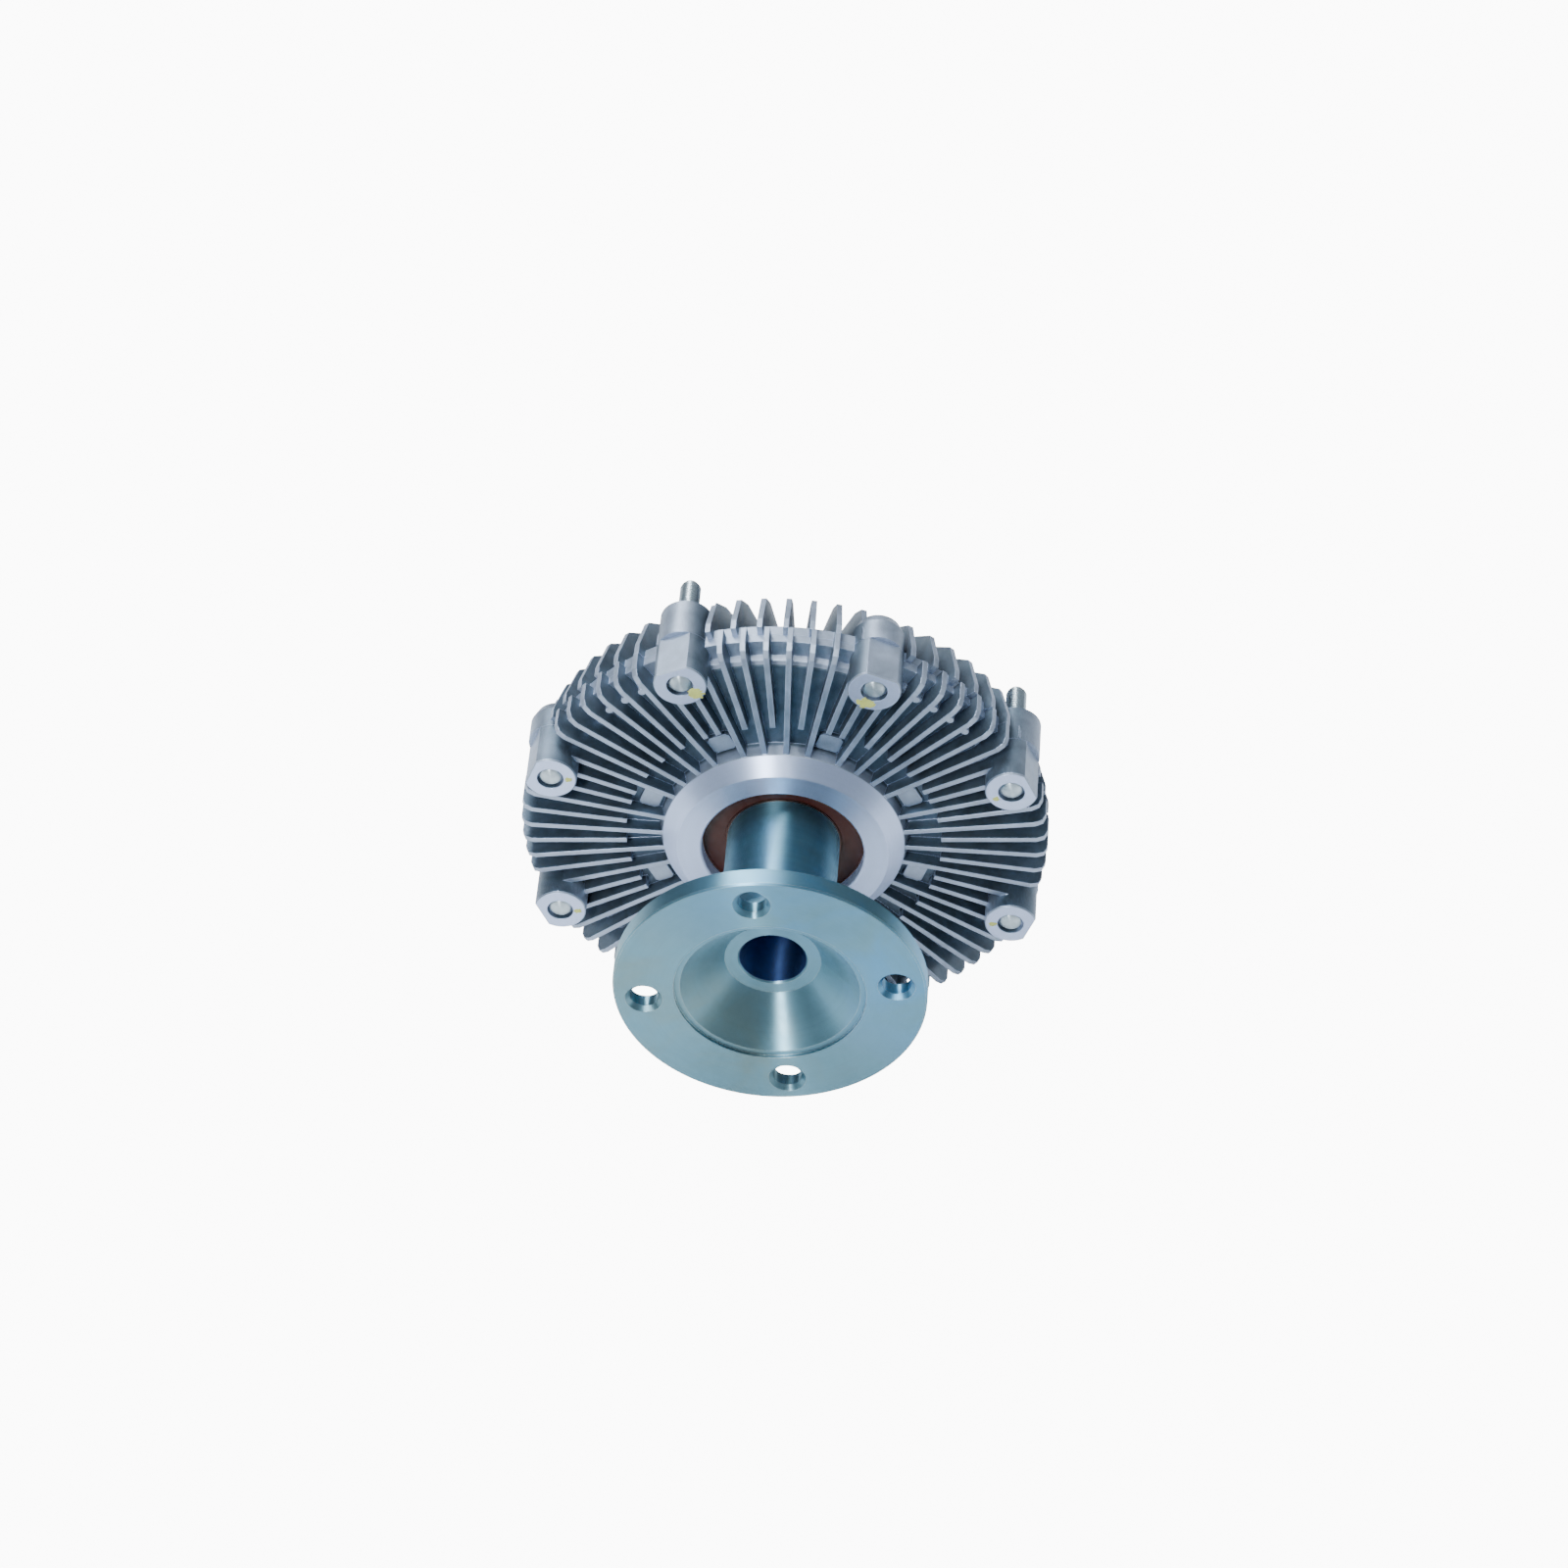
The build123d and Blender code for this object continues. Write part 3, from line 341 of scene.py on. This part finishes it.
def stains_group():
    """Soft smears and handling marks."""
    tree, inputs, outputs = group_tree(
        "Stains", {"Size": 60.0, "Sharpness": 0.15}, {"Mask": "NodeSocketFloat"},
    )
    where = place(tree, "ShaderNodeTexCoord").outputs["Object"]
    cloud = place(tree, "ShaderNodeTexNoise", {"Vector": where, "Scale": inputs["Size"], "Detail": 3.0,
                                                "Distortion": 0.8}).outputs[0]
    low = maths(tree, "SUBTRACT", 0.52, inputs["Sharpness"])
    high = maths(tree, "ADD", 0.52, inputs["Sharpness"])
    mask = place(tree, "ShaderNodeMapRange", {"Value": cloud, "From Min": low, "From Max": high},
                 interpolation_type="SMOOTHSTEP")
    tree.links.new(mask.outputs[0], outputs["Mask"])
    return tree


def flanks_group():
    """Mask of the faces that look round the shaft, as the sides of the fins do."""
    tree, _, outputs = group_tree("Flanks", {}, {"Mask": "NodeSocketFloat"})
    place_in_part = place(tree, "ShaderNodeTexCoord").outputs
    round_shaft = place(tree, "ShaderNodeVectorMath", {0: place_in_part["Object"], 1: (0.0, 1.0, 0.0)},
                        operation="CROSS_PRODUCT").outputs[0]
    round_shaft = place(tree, "ShaderNodeVectorMath", {0: round_shaft}, operation="NORMALIZE").outputs[0]
    facing = place(tree, "ShaderNodeVectorMath", {0: round_shaft, 1: place_in_part["Normal"]},
                   operation="DOT_PRODUCT").outputs["Value"]
    mask = place(tree, "ShaderNodeMapRange", {"Value": maths(tree, "ABSOLUTE", facing), "From Min": 0.35,
                                              "From Max": 0.85}, interpolation_type="SMOOTHSTEP")
    tree.links.new(mask.outputs[0], outputs["Mask"])
    return tree


GROUP_MAKERS = {
    "Flanks": flanks_group,
    "Rounded edges": rounded_edges_group,
    "Cast skin": cast_skin_group,
    "Turned marks": turned_marks_group,
    "Stains": stains_group,
}


def shared(name):
    """A shared node group, made the first time it is asked for."""
    return bpy.data.node_groups.get(name) or GROUP_MAKERS[name]()


def new_material(name):
    """Empty material: its node tree and its Principled BSDF."""
    material = bpy.data.materials.new(name)
    material.use_nodes = True
    return material, material.node_tree, material.node_tree.nodes["Principled BSDF"]


def connect(tree, shader, **sockets):
    """Link sockets to the Principled BSDF's inputs; underscores stand for spaces."""
    for key, socket in sockets.items():
        tree.links.new(socket, shader.inputs[key.replace("_", " ")])


def lathe_direction(tree):
    """Output socket of the direction round the shaft, along which a lathe cuts."""
    return place(tree, "ShaderNodeTangent", direction_type="RADIAL", axis="Y").outputs[0]


def depth_bump(tree, height, normal, strength, distance):
    """Output socket of a Bump node."""
    bump = place(tree, "ShaderNodeBump", {"Height": height, "Normal": normal, "Strength": strength,
                                          "Distance": distance})
    return bump.outputs[0]


# Finishes

def cast_aluminium(name, turned_radius, face_y=0.0, floor_y=1.0, floor_radius=0.0):
    """Die-cast aluminium, machined at face_y and inside turned_radius, with painted shade on the fins' sides and
    past floor_y between its fins.
    """
    colours = bpy.context.scene.clutch_colours
    material, tree, shader = new_material(name)
    skin = use_group(tree, shared("Cast skin")).outputs
    turned = use_group(tree, shared("Turned marks"), spacing=CASTING_RINGS).outputs
    edges = use_group(tree, shared("Rounded edges"), radius=0.45 * MM, wear=1.0).outputs
    stains = use_group(tree, shared("Stains"), size=70.0).outputs["Mask"]
    radius, depth = radius_and_depth(tree)
    on_face = maths(tree, "LESS_THAN", depth, face_y + FACE_TOLERANCE)
    in_hub = maths(tree, "LESS_THAN", radius, turned_radius)
    machined = maths(tree, "MAXIMUM", on_face, in_hub)
    dark = tuple(0.62 * value for value in colours.casting)
    cast = blend_colours(tree, skin["Tone"], dark, colours.casting)
    # Painted shade: the fins' sides, and the floor between the fins past floor_y, get the dark fin colour.
    flanks = use_group(tree, shared("Flanks")).outputs["Mask"]
    deep = place(tree, "ShaderNodeMapRange",
                 {"Value": depth, "From Min": floor_y - 1.0 * MM, "From Max": floor_y})
    deep = maths(tree, "MULTIPLY", deep.outputs[0], maths(tree, "LESS_THAN", radius, floor_radius))
    painted_fin_shade = maths(tree, "MAXIMUM", flanks, deep)
    flank_dark = blend_colours(tree, skin["Tone"], tuple(0.7 * value for value in colours.flank),
                               tuple(1.5 * value for value in colours.flank))
    cast = blend_colours(tree, painted_fin_shade, cast, flank_dark)
    stained = tuple(0.5 * value for value in colours.casting)
    cast = blend_colours(tree, maths(tree, "MULTIPLY", stains, 0.25), cast, stained)
    dimmed = tuple(0.8 * value for value in colours.machined)
    bright = blend_colours(tree, turned["Tone"], dimmed, colours.machined)
    finish = blend_colours(tree, machined, cast, bright)
    # Edges lightened towards the machined colour: partly rubbed wear, partly painted highlight.
    finish = blend_colours(tree, maths(tree, "MULTIPLY", edges["Edge wear and sheen"], 0.75), finish, colours.machined)
    rough = place(tree, "ShaderNodeMapRange",
                  {"Value": skin["Tone"], "To Min": 0.42, "To Max": 0.6}).outputs[0]
    rough = place(tree, "ShaderNodeMix", {0: machined, 2: rough, 3: 0.4}).outputs[0]
    rough = place(tree, "ShaderNodeMix", {0: edges["Edge wear and sheen"], 2: rough, 3: 0.32}).outputs[0]
    grain = depth_bump(tree, skin["Height"], edges["Normal"], 0.35, 0.12 * MM)
    rings = depth_bump(tree, turned["Height"], edges["Normal"], 0.25, 0.02 * MM)
    normal = place(tree, "ShaderNodeMix", data_type="VECTOR")
    tree.links.new(machined, normal.inputs[0])
    tree.links.new(grain, normal.inputs[4])
    tree.links.new(rings, normal.inputs[5])
    connect(tree, shader, Base_Color=finish, Roughness=rough, Normal=normal.outputs[1],
            Anisotropic=maths(tree, "MULTIPLY", machined, CASTING_STRETCH), Tangent=lathe_direction(tree))
    shader.inputs["Metallic"].default_value = 0.85
    shader.inputs["Anisotropic Rotation"].default_value = ACROSS_MARKS
    return material


def zinc_plate(name, shade, bloomed=0.6, spacing=SHAFT_RINGS, bore_radius=0.0):
    """Zinc-plated steel with lathe rings, olive and blue bloom, edges painted bright as rubbed wear and painted
    highlight, and a bore painted dark as shade.
    """
    colours = bpy.context.scene.clutch_colours
    material, tree, shader = new_material(name)
    marks = use_group(tree, shared("Turned marks"), spacing=spacing).outputs
    edges = use_group(tree, shared("Rounded edges"), radius=0.35 * MM, wear=0.7).outputs
    stains = use_group(tree, shared("Stains"), size=38.0, sharpness=0.22).outputs["Mask"]
    smears = use_group(tree, shared("Stains"), size=160.0, sharpness=0.1).outputs["Mask"]
    zinc = Vector(shade)
    base = blend_colours(tree, marks["Tone"], tuple(0.8 * zinc), tuple(1.12 * zinc))
    where = place(tree, "ShaderNodeTexCoord").outputs["Object"]
    split = place(tree, "ShaderNodeSeparateXYZ", {0: where}).outputs
    corner = maths(tree, "ADD", split[0], split[2])
    to_upper_right = place(tree, "ShaderNodeMapRange",
                           {"Value": corner, "From Min": -0.04, "From Max": 0.05}).outputs[0]
    bloom = blend_colours(tree, to_upper_right, colours.zinc_olive, colours.zinc_blue)
    base = blend_colours(tree, maths(tree, "MULTIPLY", stains, bloomed), base, bloom)
    in_bore = maths(tree, "LESS_THAN", radius_and_depth(tree)[0], bore_radius)
    # Painted shade: the bore is coloured dark.
    base = blend_colours(tree, in_bore, base, colours.bore_shade)
    # Edges lightened: partly rubbed wear, partly painted highlight.
    base = blend_colours(tree, maths(tree, "MULTIPLY", edges["Edge wear and sheen"], 0.7), base, (0.75, 0.85, 0.85))
    rough = place(tree, "ShaderNodeMapRange",
                  {"Value": marks["Tone"], "To Min": 0.34, "To Max": 0.42}).outputs[0]
    rough = maths(tree, "MULTIPLY_ADD", smears, 0.03, rough)
    normal = depth_bump(tree, marks["Height"], edges["Normal"], 0.1, 0.006 * MM)
    connect(tree, shader, Base_Color=base, Roughness=rough, Normal=normal, Tangent=lathe_direction(tree))
    shader.inputs["Metallic"].default_value = 1.0
    shader.inputs["Anisotropic"].default_value = TURNED_STRETCH
    shader.inputs["Anisotropic Rotation"].default_value = ACROSS_MARKS
    return material


def ground_steel(name, shade, roughness):
    """Ground or rolled steel with fine marks."""
    material, tree, shader = new_material(name)
    marks = use_group(tree, shared("Turned marks"), spacing=GROUND_RINGS).outputs
    edges = use_group(tree, shared("Rounded edges"), radius=0.2 * MM, wear=0.5).outputs
    shade = Vector(shade)
    base = blend_colours(tree, marks["Tone"], tuple(0.85 * shade), tuple(shade))
    rough = place(tree, "ShaderNodeMapRange",
                  {"Value": marks["Tone"], "To Min": 0.8 * roughness, "To Max": 1.2 * roughness}).outputs[0]
    normal = depth_bump(tree, marks["Height"], edges["Normal"], 0.2, 0.01 * MM)
    connect(tree, shader, Base_Color=base, Roughness=rough, Normal=normal)
    shader.inputs["Metallic"].default_value = 1.0
    return material


def moulded(name, shade, roughness, grain=2600.0):
    """Moulded rubber or plastic with a fine skin and dusty patches."""
    material, tree, shader = new_material(name)
    skin = use_group(tree, shared("Cast skin"), grain=grain, blotch=120.0).outputs
    edges = use_group(tree, shared("Rounded edges"), radius=0.25 * MM, wear=0.0).outputs
    dust = use_group(tree, shared("Stains"), size=110.0).outputs["Mask"]
    shade = Vector(shade)
    base = blend_colours(tree, skin["Tone"], tuple(0.8 * shade), tuple(1.15 * shade))
    dusty = tuple(0.7 * shade + 0.3 * Vector((0.3, 0.28, 0.26)))
    base = blend_colours(tree, maths(tree, "MULTIPLY", dust, 0.06), base, dusty)
    rough = maths(tree, "MULTIPLY_ADD", dust, 0.15, roughness)
    normal = depth_bump(tree, skin["Height"], edges["Normal"], 0.2, 0.04 * MM)
    connect(tree, shader, Base_Color=base, Roughness=rough, Normal=normal)
    return material


def paint(name, shade):
    """Brushed-on paint that thins at its edges."""
    material, tree, shader = new_material(name)
    skin = use_group(tree, shared("Cast skin"), grain=1200.0, blotch=400.0).outputs
    shade = Vector(shade)
    base = blend_colours(tree, skin["Tone"], tuple(0.75 * shade), tuple(1.1 * shade))
    rough = place(tree, "ShaderNodeMapRange",
                  {"Value": skin["Tone"], "To Min": 0.35, "To Max": 0.5}).outputs[0]
    where = place(tree, "ShaderNodeNewGeometry").outputs["Normal"]
    connect(tree, shader, Base_Color=base, Roughness=rough,
            Normal=depth_bump(tree, skin["Height"], where, 0.3, 0.05 * MM))
    return material


def clothe(material, *nodes):
    """Give CAD nodes one material."""
    for node in nodes:
        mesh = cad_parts[node].data
        mesh.materials.clear()
        mesh.materials.append(material)


# Pieces in mesh code

def mesh_object(name, shape, body):
    """Object from a bmesh that rides on a body."""
    mesh = bpy.data.meshes.new(name)
    shape.to_mesh(mesh)
    shape.free()
    piece = bpy.data.objects.new(name, mesh)
    bpy.context.scene.collection.objects.link(piece)
    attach(piece, body)
    return piece


def boss_screw(node, threaded, sizes):
    """Screw with a domed end in the boss's pocket; a threaded one has a thinner end with a helical thread."""
    low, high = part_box(node)
    axis, shank_radius = middle(node), (high.x - low.x) / 2
    shape = bmesh.new()
    rows = []

    def ring(radius_at, depth):
        """One ring of vertices whose radius may vary with the turn."""
        row = []
        for side in range(sizes.sides):
            turn = side / sizes.sides
            distance, angle = radius_at(turn), turn * math.tau
            row.append(shape.verts.new((axis.x + distance * math.cos(angle), depth,
                                        axis.z + distance * math.sin(angle))))
        rows.append(row)

    for step in range(1, DOME_ROWS + 1):
        share = math.sin(step / DOME_ROWS * math.pi / 2)
        rise = sizes.dome * (1 - math.sqrt(max(0.0, 1 - share ** 2)))
        ring(lambda turn: shank_radius * share, low.y + rise)
    if threaded:
        root = sizes.thread_radius - sizes.depth
        thread_start = high.y - sizes.thread_length
        row_step = sizes.pitch / ROWS_PER_PITCH
        row_count = int(sizes.thread_length / row_step)
        shoulder = thread_start - SHOULDER_GAP
        ring(lambda turn: shank_radius, shoulder)
        ring(lambda turn: sizes.thread_radius, shoulder + SHOULDER_STEP)
        ring(lambda turn: sizes.thread_radius, thread_start - THREAD_GAP)

        for row_number in range(row_count):
            def thread_radius_at(turn):
                """Radius of the helical thread at this row, fading out towards the tip."""
                place_in_pitch = (row_number / ROWS_PER_PITCH - turn) % 1.0 * ROWS_PER_PITCH
                before = int(place_in_pitch)
                share = place_in_pitch - before
                crest = (THREAD_CRESTS[before % ROWS_PER_PITCH] * (1 - share)
                         + THREAD_CRESTS[(before + 1) % ROWS_PER_PITCH] * share)
                taper = min(1.0, (row_count - row_number) / RUNOUT_ROWS)
                return root - RUNOUT_DEPTH * (1 - taper) + sizes.depth * crest * taper
            ring(thread_radius_at, thread_start + row_number * row_step)
        ring(lambda turn: root - TIP_CHAMFER, high.y)
    else:
        ring(lambda turn: shank_radius, high.y - sizes.dome)
        ring(lambda turn: shank_radius - sizes.dome, high.y)
    for lower, upper in zip(rows, rows[1:]):
        for side in range(sizes.sides):
            after = (side + 1) % sizes.sides
            shape.faces.new((lower[side], upper[side], upper[after], lower[after]))
    shape.faces.new(rows[0])
    shape.faces.new(list(reversed(rows[-1])))
    bmesh.ops.recalc_face_normals(shape, faces=shape.faces)
    return shape


def paint_dab(centre, radius, thickness, seed):
    """Irregular low blob of paint on a face that looks towards -Y."""
    rng = random.Random(seed)
    shape = bmesh.new()
    wobble = [1.0 + 0.22 * math.sin(2 * math.tau * side / DAB_SIDES + rng.uniform(0, 6))
              + rng.uniform(-0.08, 0.08) for side in range(DAB_SIDES)]
    stretch = rng.uniform(1.0, 1.35)
    rows = []
    for share, rise in DAB_LEVELS:
        row = []
        for side in range(DAB_SIDES):
            angle = side / DAB_SIDES * math.tau
            reach = radius * wobble[side] * share
            row.append(shape.verts.new((centre.x + reach * stretch * math.cos(angle),
                                        centre.y - thickness * rise,
                                        centre.z + reach * math.sin(angle))))
        rows.append(row)
    for outer, inner in zip(rows, rows[1:]):
        for side in range(DAB_SIDES):
            after = (side + 1) % DAB_SIDES
            shape.faces.new((outer[side], outer[after], inner[after], inner[side]))
    shape.faces.new(rows[-1])
    shape.faces.new(list(reversed(rows[0])))
    bmesh.ops.recalc_face_normals(shape, faces=shape.faces)
    return shape


def shade_smooth(piece):
    """Smooth shading with sharp edges kept."""
    mesh = piece.data
    mesh.polygons.foreach_set("use_smooth", [True] * len(mesh.polygons))
    mesh.set_sharp_from_angle(angle=SMOOTH_ANGLE)


# Operators

class CLUTCH_OT_castings(bpy.types.Operator):
    """Finish the housing and the cover as die-cast aluminium"""

    bl_idname = "clutch.castings"
    bl_label = "Castings"

    def execute(self, context):
        clothe(cast_aluminium("housing_casting", HUB_TURNED_RADIUS, face_y=BOSS_FACE_Y,
                              floor_y=BOSS_FACE_Y + FIN_FLOOR_DEPTH, floor_radius=FIN_FLOOR_RADIUS), "housing")
        clothe(cast_aluminium("cover_casting", COVER_TURNED_RADIUS), "cover")
        return {"FINISHED"}


class CLUTCH_OT_shaft(bpy.types.Operator):
    """Finish the drive shaft, plates and fasteners in zinc plate"""

    bl_idname = "clutch.shaft"
    bl_label = "Drive shaft and plated steel"

    def execute(self, context):
        colours = context.scene.clutch_colours
        clothe(zinc_plate("drive_shaft_zinc", colours.zinc, bore_radius=BORE_RADIUS), "drive_shaft")
        screws = [f"divider_screw_{number}" for number in range(1, SCREWS_PER_KIND + 1)]
        clothe(zinc_plate("plate_zinc", colours.screw, bloomed=0.2, spacing=SCREW_RINGS), *screws,
               *boss_screws(), "divider_plate", "valve_shaft", "coil_bracket", "coil_bracket_screw")
        return {"FINISHED"}


class CLUTCH_OT_bearing(bpy.types.Operator):
    """Finish the bearing, the rotor and the seals"""

    bl_idname = "clutch.bearing"
    bl_label = "Bearing, rotor and seals"

    def execute(self, context):
        colours = context.scene.clutch_colours
        clothe(ground_steel("ball_steel", colours.bright, 0.16), "bearing_balls")
        # Painted shade: the bearing rings are coloured dark brown as the shade in the seal's recess.
        clothe(ground_steel("ring_shade_steel", colours.ring_shade, 0.4), "bearing_inner_ring", "bearing_outer_ring")
        clothe(ground_steel("spring_steel", (0.24, 0.24, 0.25), 0.35), "bearing_snap_ring", "rotor_retaining_ring",
               "valve_arm")
        clothe(ground_steel("rotor_aluminium", (0.6, 0.61, 0.62), 0.3), "rotor")
        clothe(moulded("brown_rubber", colours.seal, 0.42), "bearing_rear_seal", "bearing_front_seal")
        clothe(moulded("black_rubber", (0.012, 0.012, 0.012), 0.5), "cover_o_ring", "valve_o_ring")
        clothe(moulded("cage_nylon", (0.62, 0.55, 0.4), 0.45), "bearing_cage")
        clothe(moulded("wiper_plastic", (0.03, 0.03, 0.035), 0.4), "pump_wiper")
        return {"FINISHED"}


class CLUTCH_OT_coil(bpy.types.Operator):
    """Finish the bimetal coil on the fan side"""

    bl_idname = "clutch.coil"
    bl_label = "Bimetal coil"

    def execute(self, context):
        clothe(ground_steel("bimetal_strip", context.scene.clutch_colours.bimetal, 0.3), "bimetal_coil")
        return {"FINISHED"}


class CLUTCH_OT_studs(bpy.types.Operator):
    """Build the screws in the bosses, with domed ends and the studs' threads"""

    bl_idname = "clutch.studs"
    bl_label = "Studs and bolts"

    def execute(self, context):
        sizes = context.scene.clutch_fasteners
        shade = context.scene.clutch_colours.screw
        plating = zinc_plate("screw_zinc", shade, bloomed=0.1, spacing=SCREW_RINGS)
        for node in boss_screws():
            piece = mesh_object(f"domed_{node}", boss_screw(node, node.startswith("fan_stud"), sizes), "housing")
            piece.data.materials.append(plating)
            shade_smooth(piece)
            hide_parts(node)
        return {"FINISHED"}


class CLUTCH_OT_paint_marks(bpy.types.Operator):
    """Dab the paint marks that show the screws were tightened"""

    bl_idname = "clutch.paint_marks"
    bl_label = "Paint marks"

    def execute(self, context):
        sizes = context.scene.clutch_paint
        yellow = paint("marking_paint", context.scene.clutch_colours.paint)
        for number, (name, lean) in enumerate(zip(boss_screws(), MARK_LEANS), 1):
            axis = middle(name)
            inward = math.atan2(-axis.z, -axis.x) + math.radians(lean)
            centre = Vector((axis.x + sizes.offset * math.cos(inward), BOSS_FACE_Y,
                             axis.z + sizes.offset * math.sin(inward)))
            size = sizes.radius if number in FRESH_MARKS else sizes.worn_radius
            shape = paint_dab(centre, size, sizes.thickness, number)
            dab = mesh_object(f"paint_mark_{number}", shape, "housing")
            dab.data.materials.append(yellow)
            shade_smooth(dab)
        return {"FINISHED"}


def area_light(name, place_at, size, power, tint):
    """Rectangular area light that looks at the middle of the bosses' front plane."""
    light = bpy.data.lights.new(name, "AREA")
    light.shape = "RECTANGLE"
    light.size, light.size_y = size
    light.energy = power
    light.color = tint
    lamp = bpy.data.objects.new(name, light)
    lamp.location = place_at
    to_aim = Vector((0, BOSS_FACE_Y, 0)) - Vector(place_at)
    lamp.rotation_euler = to_aim.to_track_quat("-Z", "Y").to_euler()
    bpy.context.scene.collection.objects.link(lamp)


class CLUTCH_OT_stage(bpy.types.Operator):
    """Set up the camera, the pale floor and the soft studio light"""

    bl_idname = "clutch.stage"
    bl_label = "Camera, floor and light"

    def camera(self, scene):
        """Camera at the photograph's angle, rolled about its own view line."""
        view = scene.clutch_camera
        side, rise = view.azimuth, view.elevation
        back = Vector((math.sin(side) * math.cos(rise), -math.cos(side) * math.cos(rise), math.sin(rise)))
        right = (-back).cross(Vector((0, 0, 1))).normalized()
        up = back.cross(right)
        turned_right = math.cos(view.roll) * right + math.sin(view.roll) * up
        turned_up = math.cos(view.roll) * up - math.sin(view.roll) * right
        origin = Vector((0, BOSS_FACE_Y, 0))
        place_at = origin + turned_right * view.aim_right + turned_up * view.aim_up + back * view.distance
        lens = bpy.data.cameras.new("photograph_camera")
        lens.sensor_width = 36.0
        lens.sensor_fit = "HORIZONTAL"
        lens.lens = view.lens
        lens.clip_end = 50.0
        camera = bpy.data.objects.new("photograph_camera", lens)
        turn = Matrix((turned_right, turned_up, back)).transposed().to_4x4()
        camera.matrix_world = Matrix.Translation(place_at) @ turn
        scene.collection.objects.link(camera)
        scene.camera = camera

    def floor(self, scene):
        """Pale floor under the clutch, which the camera sees as almost white."""
        shape = bmesh.new()
        bmesh.ops.create_grid(shape, x_segments=1, y_segments=1, size=FLOOR_SIZE)
        bmesh.ops.translate(shape, verts=shape.verts, vec=(0, 0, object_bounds()[0][2] - FLOOR_GAP))
        mesh = bpy.data.meshes.new("studio_floor")
        shape.to_mesh(mesh)
        shape.free()
        floor = bpy.data.objects.new("studio_floor", mesh)
        scene.collection.objects.link(floor)
        material, tree, shader = new_material("pale_floor")
        pale = tuple(scene.clutch_colours.floor)
        where = place(tree, "ShaderNodeTexCoord").outputs["Object"]
        cloud = place(tree, "ShaderNodeTexNoise", {"Vector": where, "Scale": 3.0}).outputs[0]
        clouded = blend_colours(tree, cloud, pale, tuple(0.99 * value for value in pale))
        connect(tree, shader, Base_Color=clouded)
        shader.inputs["Roughness"].default_value = 0.9
        shader.inputs["Specular IOR Level"].default_value = 0.0
        glow = place(tree, "ShaderNodeEmission", {"Color": (1.0, 1.0, 1.0, 1.0), "Strength": FLOOR_GLOW})
        seen = place(tree, "ShaderNodeLightPath").outputs["Is Camera Ray"]
        share = maths(tree, "MULTIPLY", seen, FLOOR_GLOW_SHARE)
        mixed = place(tree, "ShaderNodeMixShader", {0: share, 1: shader.outputs[0], 2: glow.outputs[0]})
        tree.links.new(mixed.outputs[0], tree.nodes["Material Output"].inputs["Surface"])
        mesh.materials.append(material)
        floor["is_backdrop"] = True

    def light(self, scene):
        """Soft air, a white backdrop for the camera only, and the studio's lights."""
        world = bpy.data.worlds.new("studio_air")
        scene.world = world
        world.use_nodes = True
        tree = world.node_tree
        sky = place(tree, "ShaderNodeTexCoord").outputs["Generated"]
        height = place(tree, "ShaderNodeSeparateXYZ", {0: sky}).outputs[2]
        ramp = place(tree, "ShaderNodeMapRange", {"Value": height, "From Min": -0.2, "From Max": 1.0,
                                                  "To Min": 0.2, "To Max": 0.55})
        air = tree.nodes["Background"]
        air.inputs["Color"].default_value = (0.86, 0.93, 1.0, 1.0)
        tree.links.new(ramp.outputs[0], air.inputs["Strength"])
        backdrop = place(tree, "ShaderNodeBackground",
                         {"Color": (1.0, 1.0, 1.0, 1.0), "Strength": BACKDROP_GLOW})
        seen = place(tree, "ShaderNodeLightPath").outputs["Is Camera Ray"]
        mixed = place(tree, "ShaderNodeMixShader", {0: seen, 1: air.outputs[0], 2: backdrop.outputs[0]})
        tree.links.new(mixed.outputs[0], tree.nodes["World Output"].inputs["Surface"])
        for settings in LIGHTS:
            area_light(*settings)

    def execute(self, context):
        self.camera(context.scene)
        self.floor(context.scene)
        self.light(context.scene)
        return {"FINISHED"}


class CLUTCH_PT_panel(bpy.types.Panel):
    """Lists the steps in the 3D view's sidebar"""

    bl_idname = "CLUTCH_PT_panel"
    bl_label = "Fan Clutch"
    bl_space_type = "VIEW_3D"
    bl_region_type = "UI"
    bl_category = "Fan Clutch"

    def draw(self, context):
        for operator in OPERATORS:
            self.layout.operator(operator.bl_idname)
        for settings in SETTINGS:
            group = getattr(context.scene, settings)
            for key in group.__annotations__:
                self.layout.prop(group, key)


OPERATORS = (CLUTCH_OT_castings, CLUTCH_OT_shaft, CLUTCH_OT_bearing, CLUTCH_OT_coil, CLUTCH_OT_studs,
             CLUTCH_OT_paint_marks, CLUTCH_OT_stage)
SETTINGS = {"clutch_fasteners": FastenerSizes, "clutch_paint": PaintSizes, "clutch_camera": CameraSettings,
            "clutch_colours": FinishColours}


def register():
    """Register the classes and hang the settings on the scene."""
    for cls in (*SETTINGS.values(), *OPERATORS, CLUTCH_PT_panel):
        bpy.utils.register_class(cls)
    for name, cls in SETTINGS.items():
        setattr(bpy.types.Scene, name, PointerProperty(type=cls))


def unregister():
    """Undo register."""
    for name in SETTINGS:
        delattr(bpy.types.Scene, name)
    for cls in reversed((*SETTINGS.values(), *OPERATORS, CLUTCH_PT_panel)):
        bpy.utils.unregister_class(cls)


def main():
    """Register the steps and build everything."""
    register()
    bpy.ops.clutch.castings()
    bpy.ops.clutch.shaft()
    bpy.ops.clutch.bearing()
    bpy.ops.clutch.coil()
    bpy.ops.clutch.studs()
    bpy.ops.clutch.paint_marks()
    bpy.ops.clutch.stage()


if __name__ == "__main__":
    main()
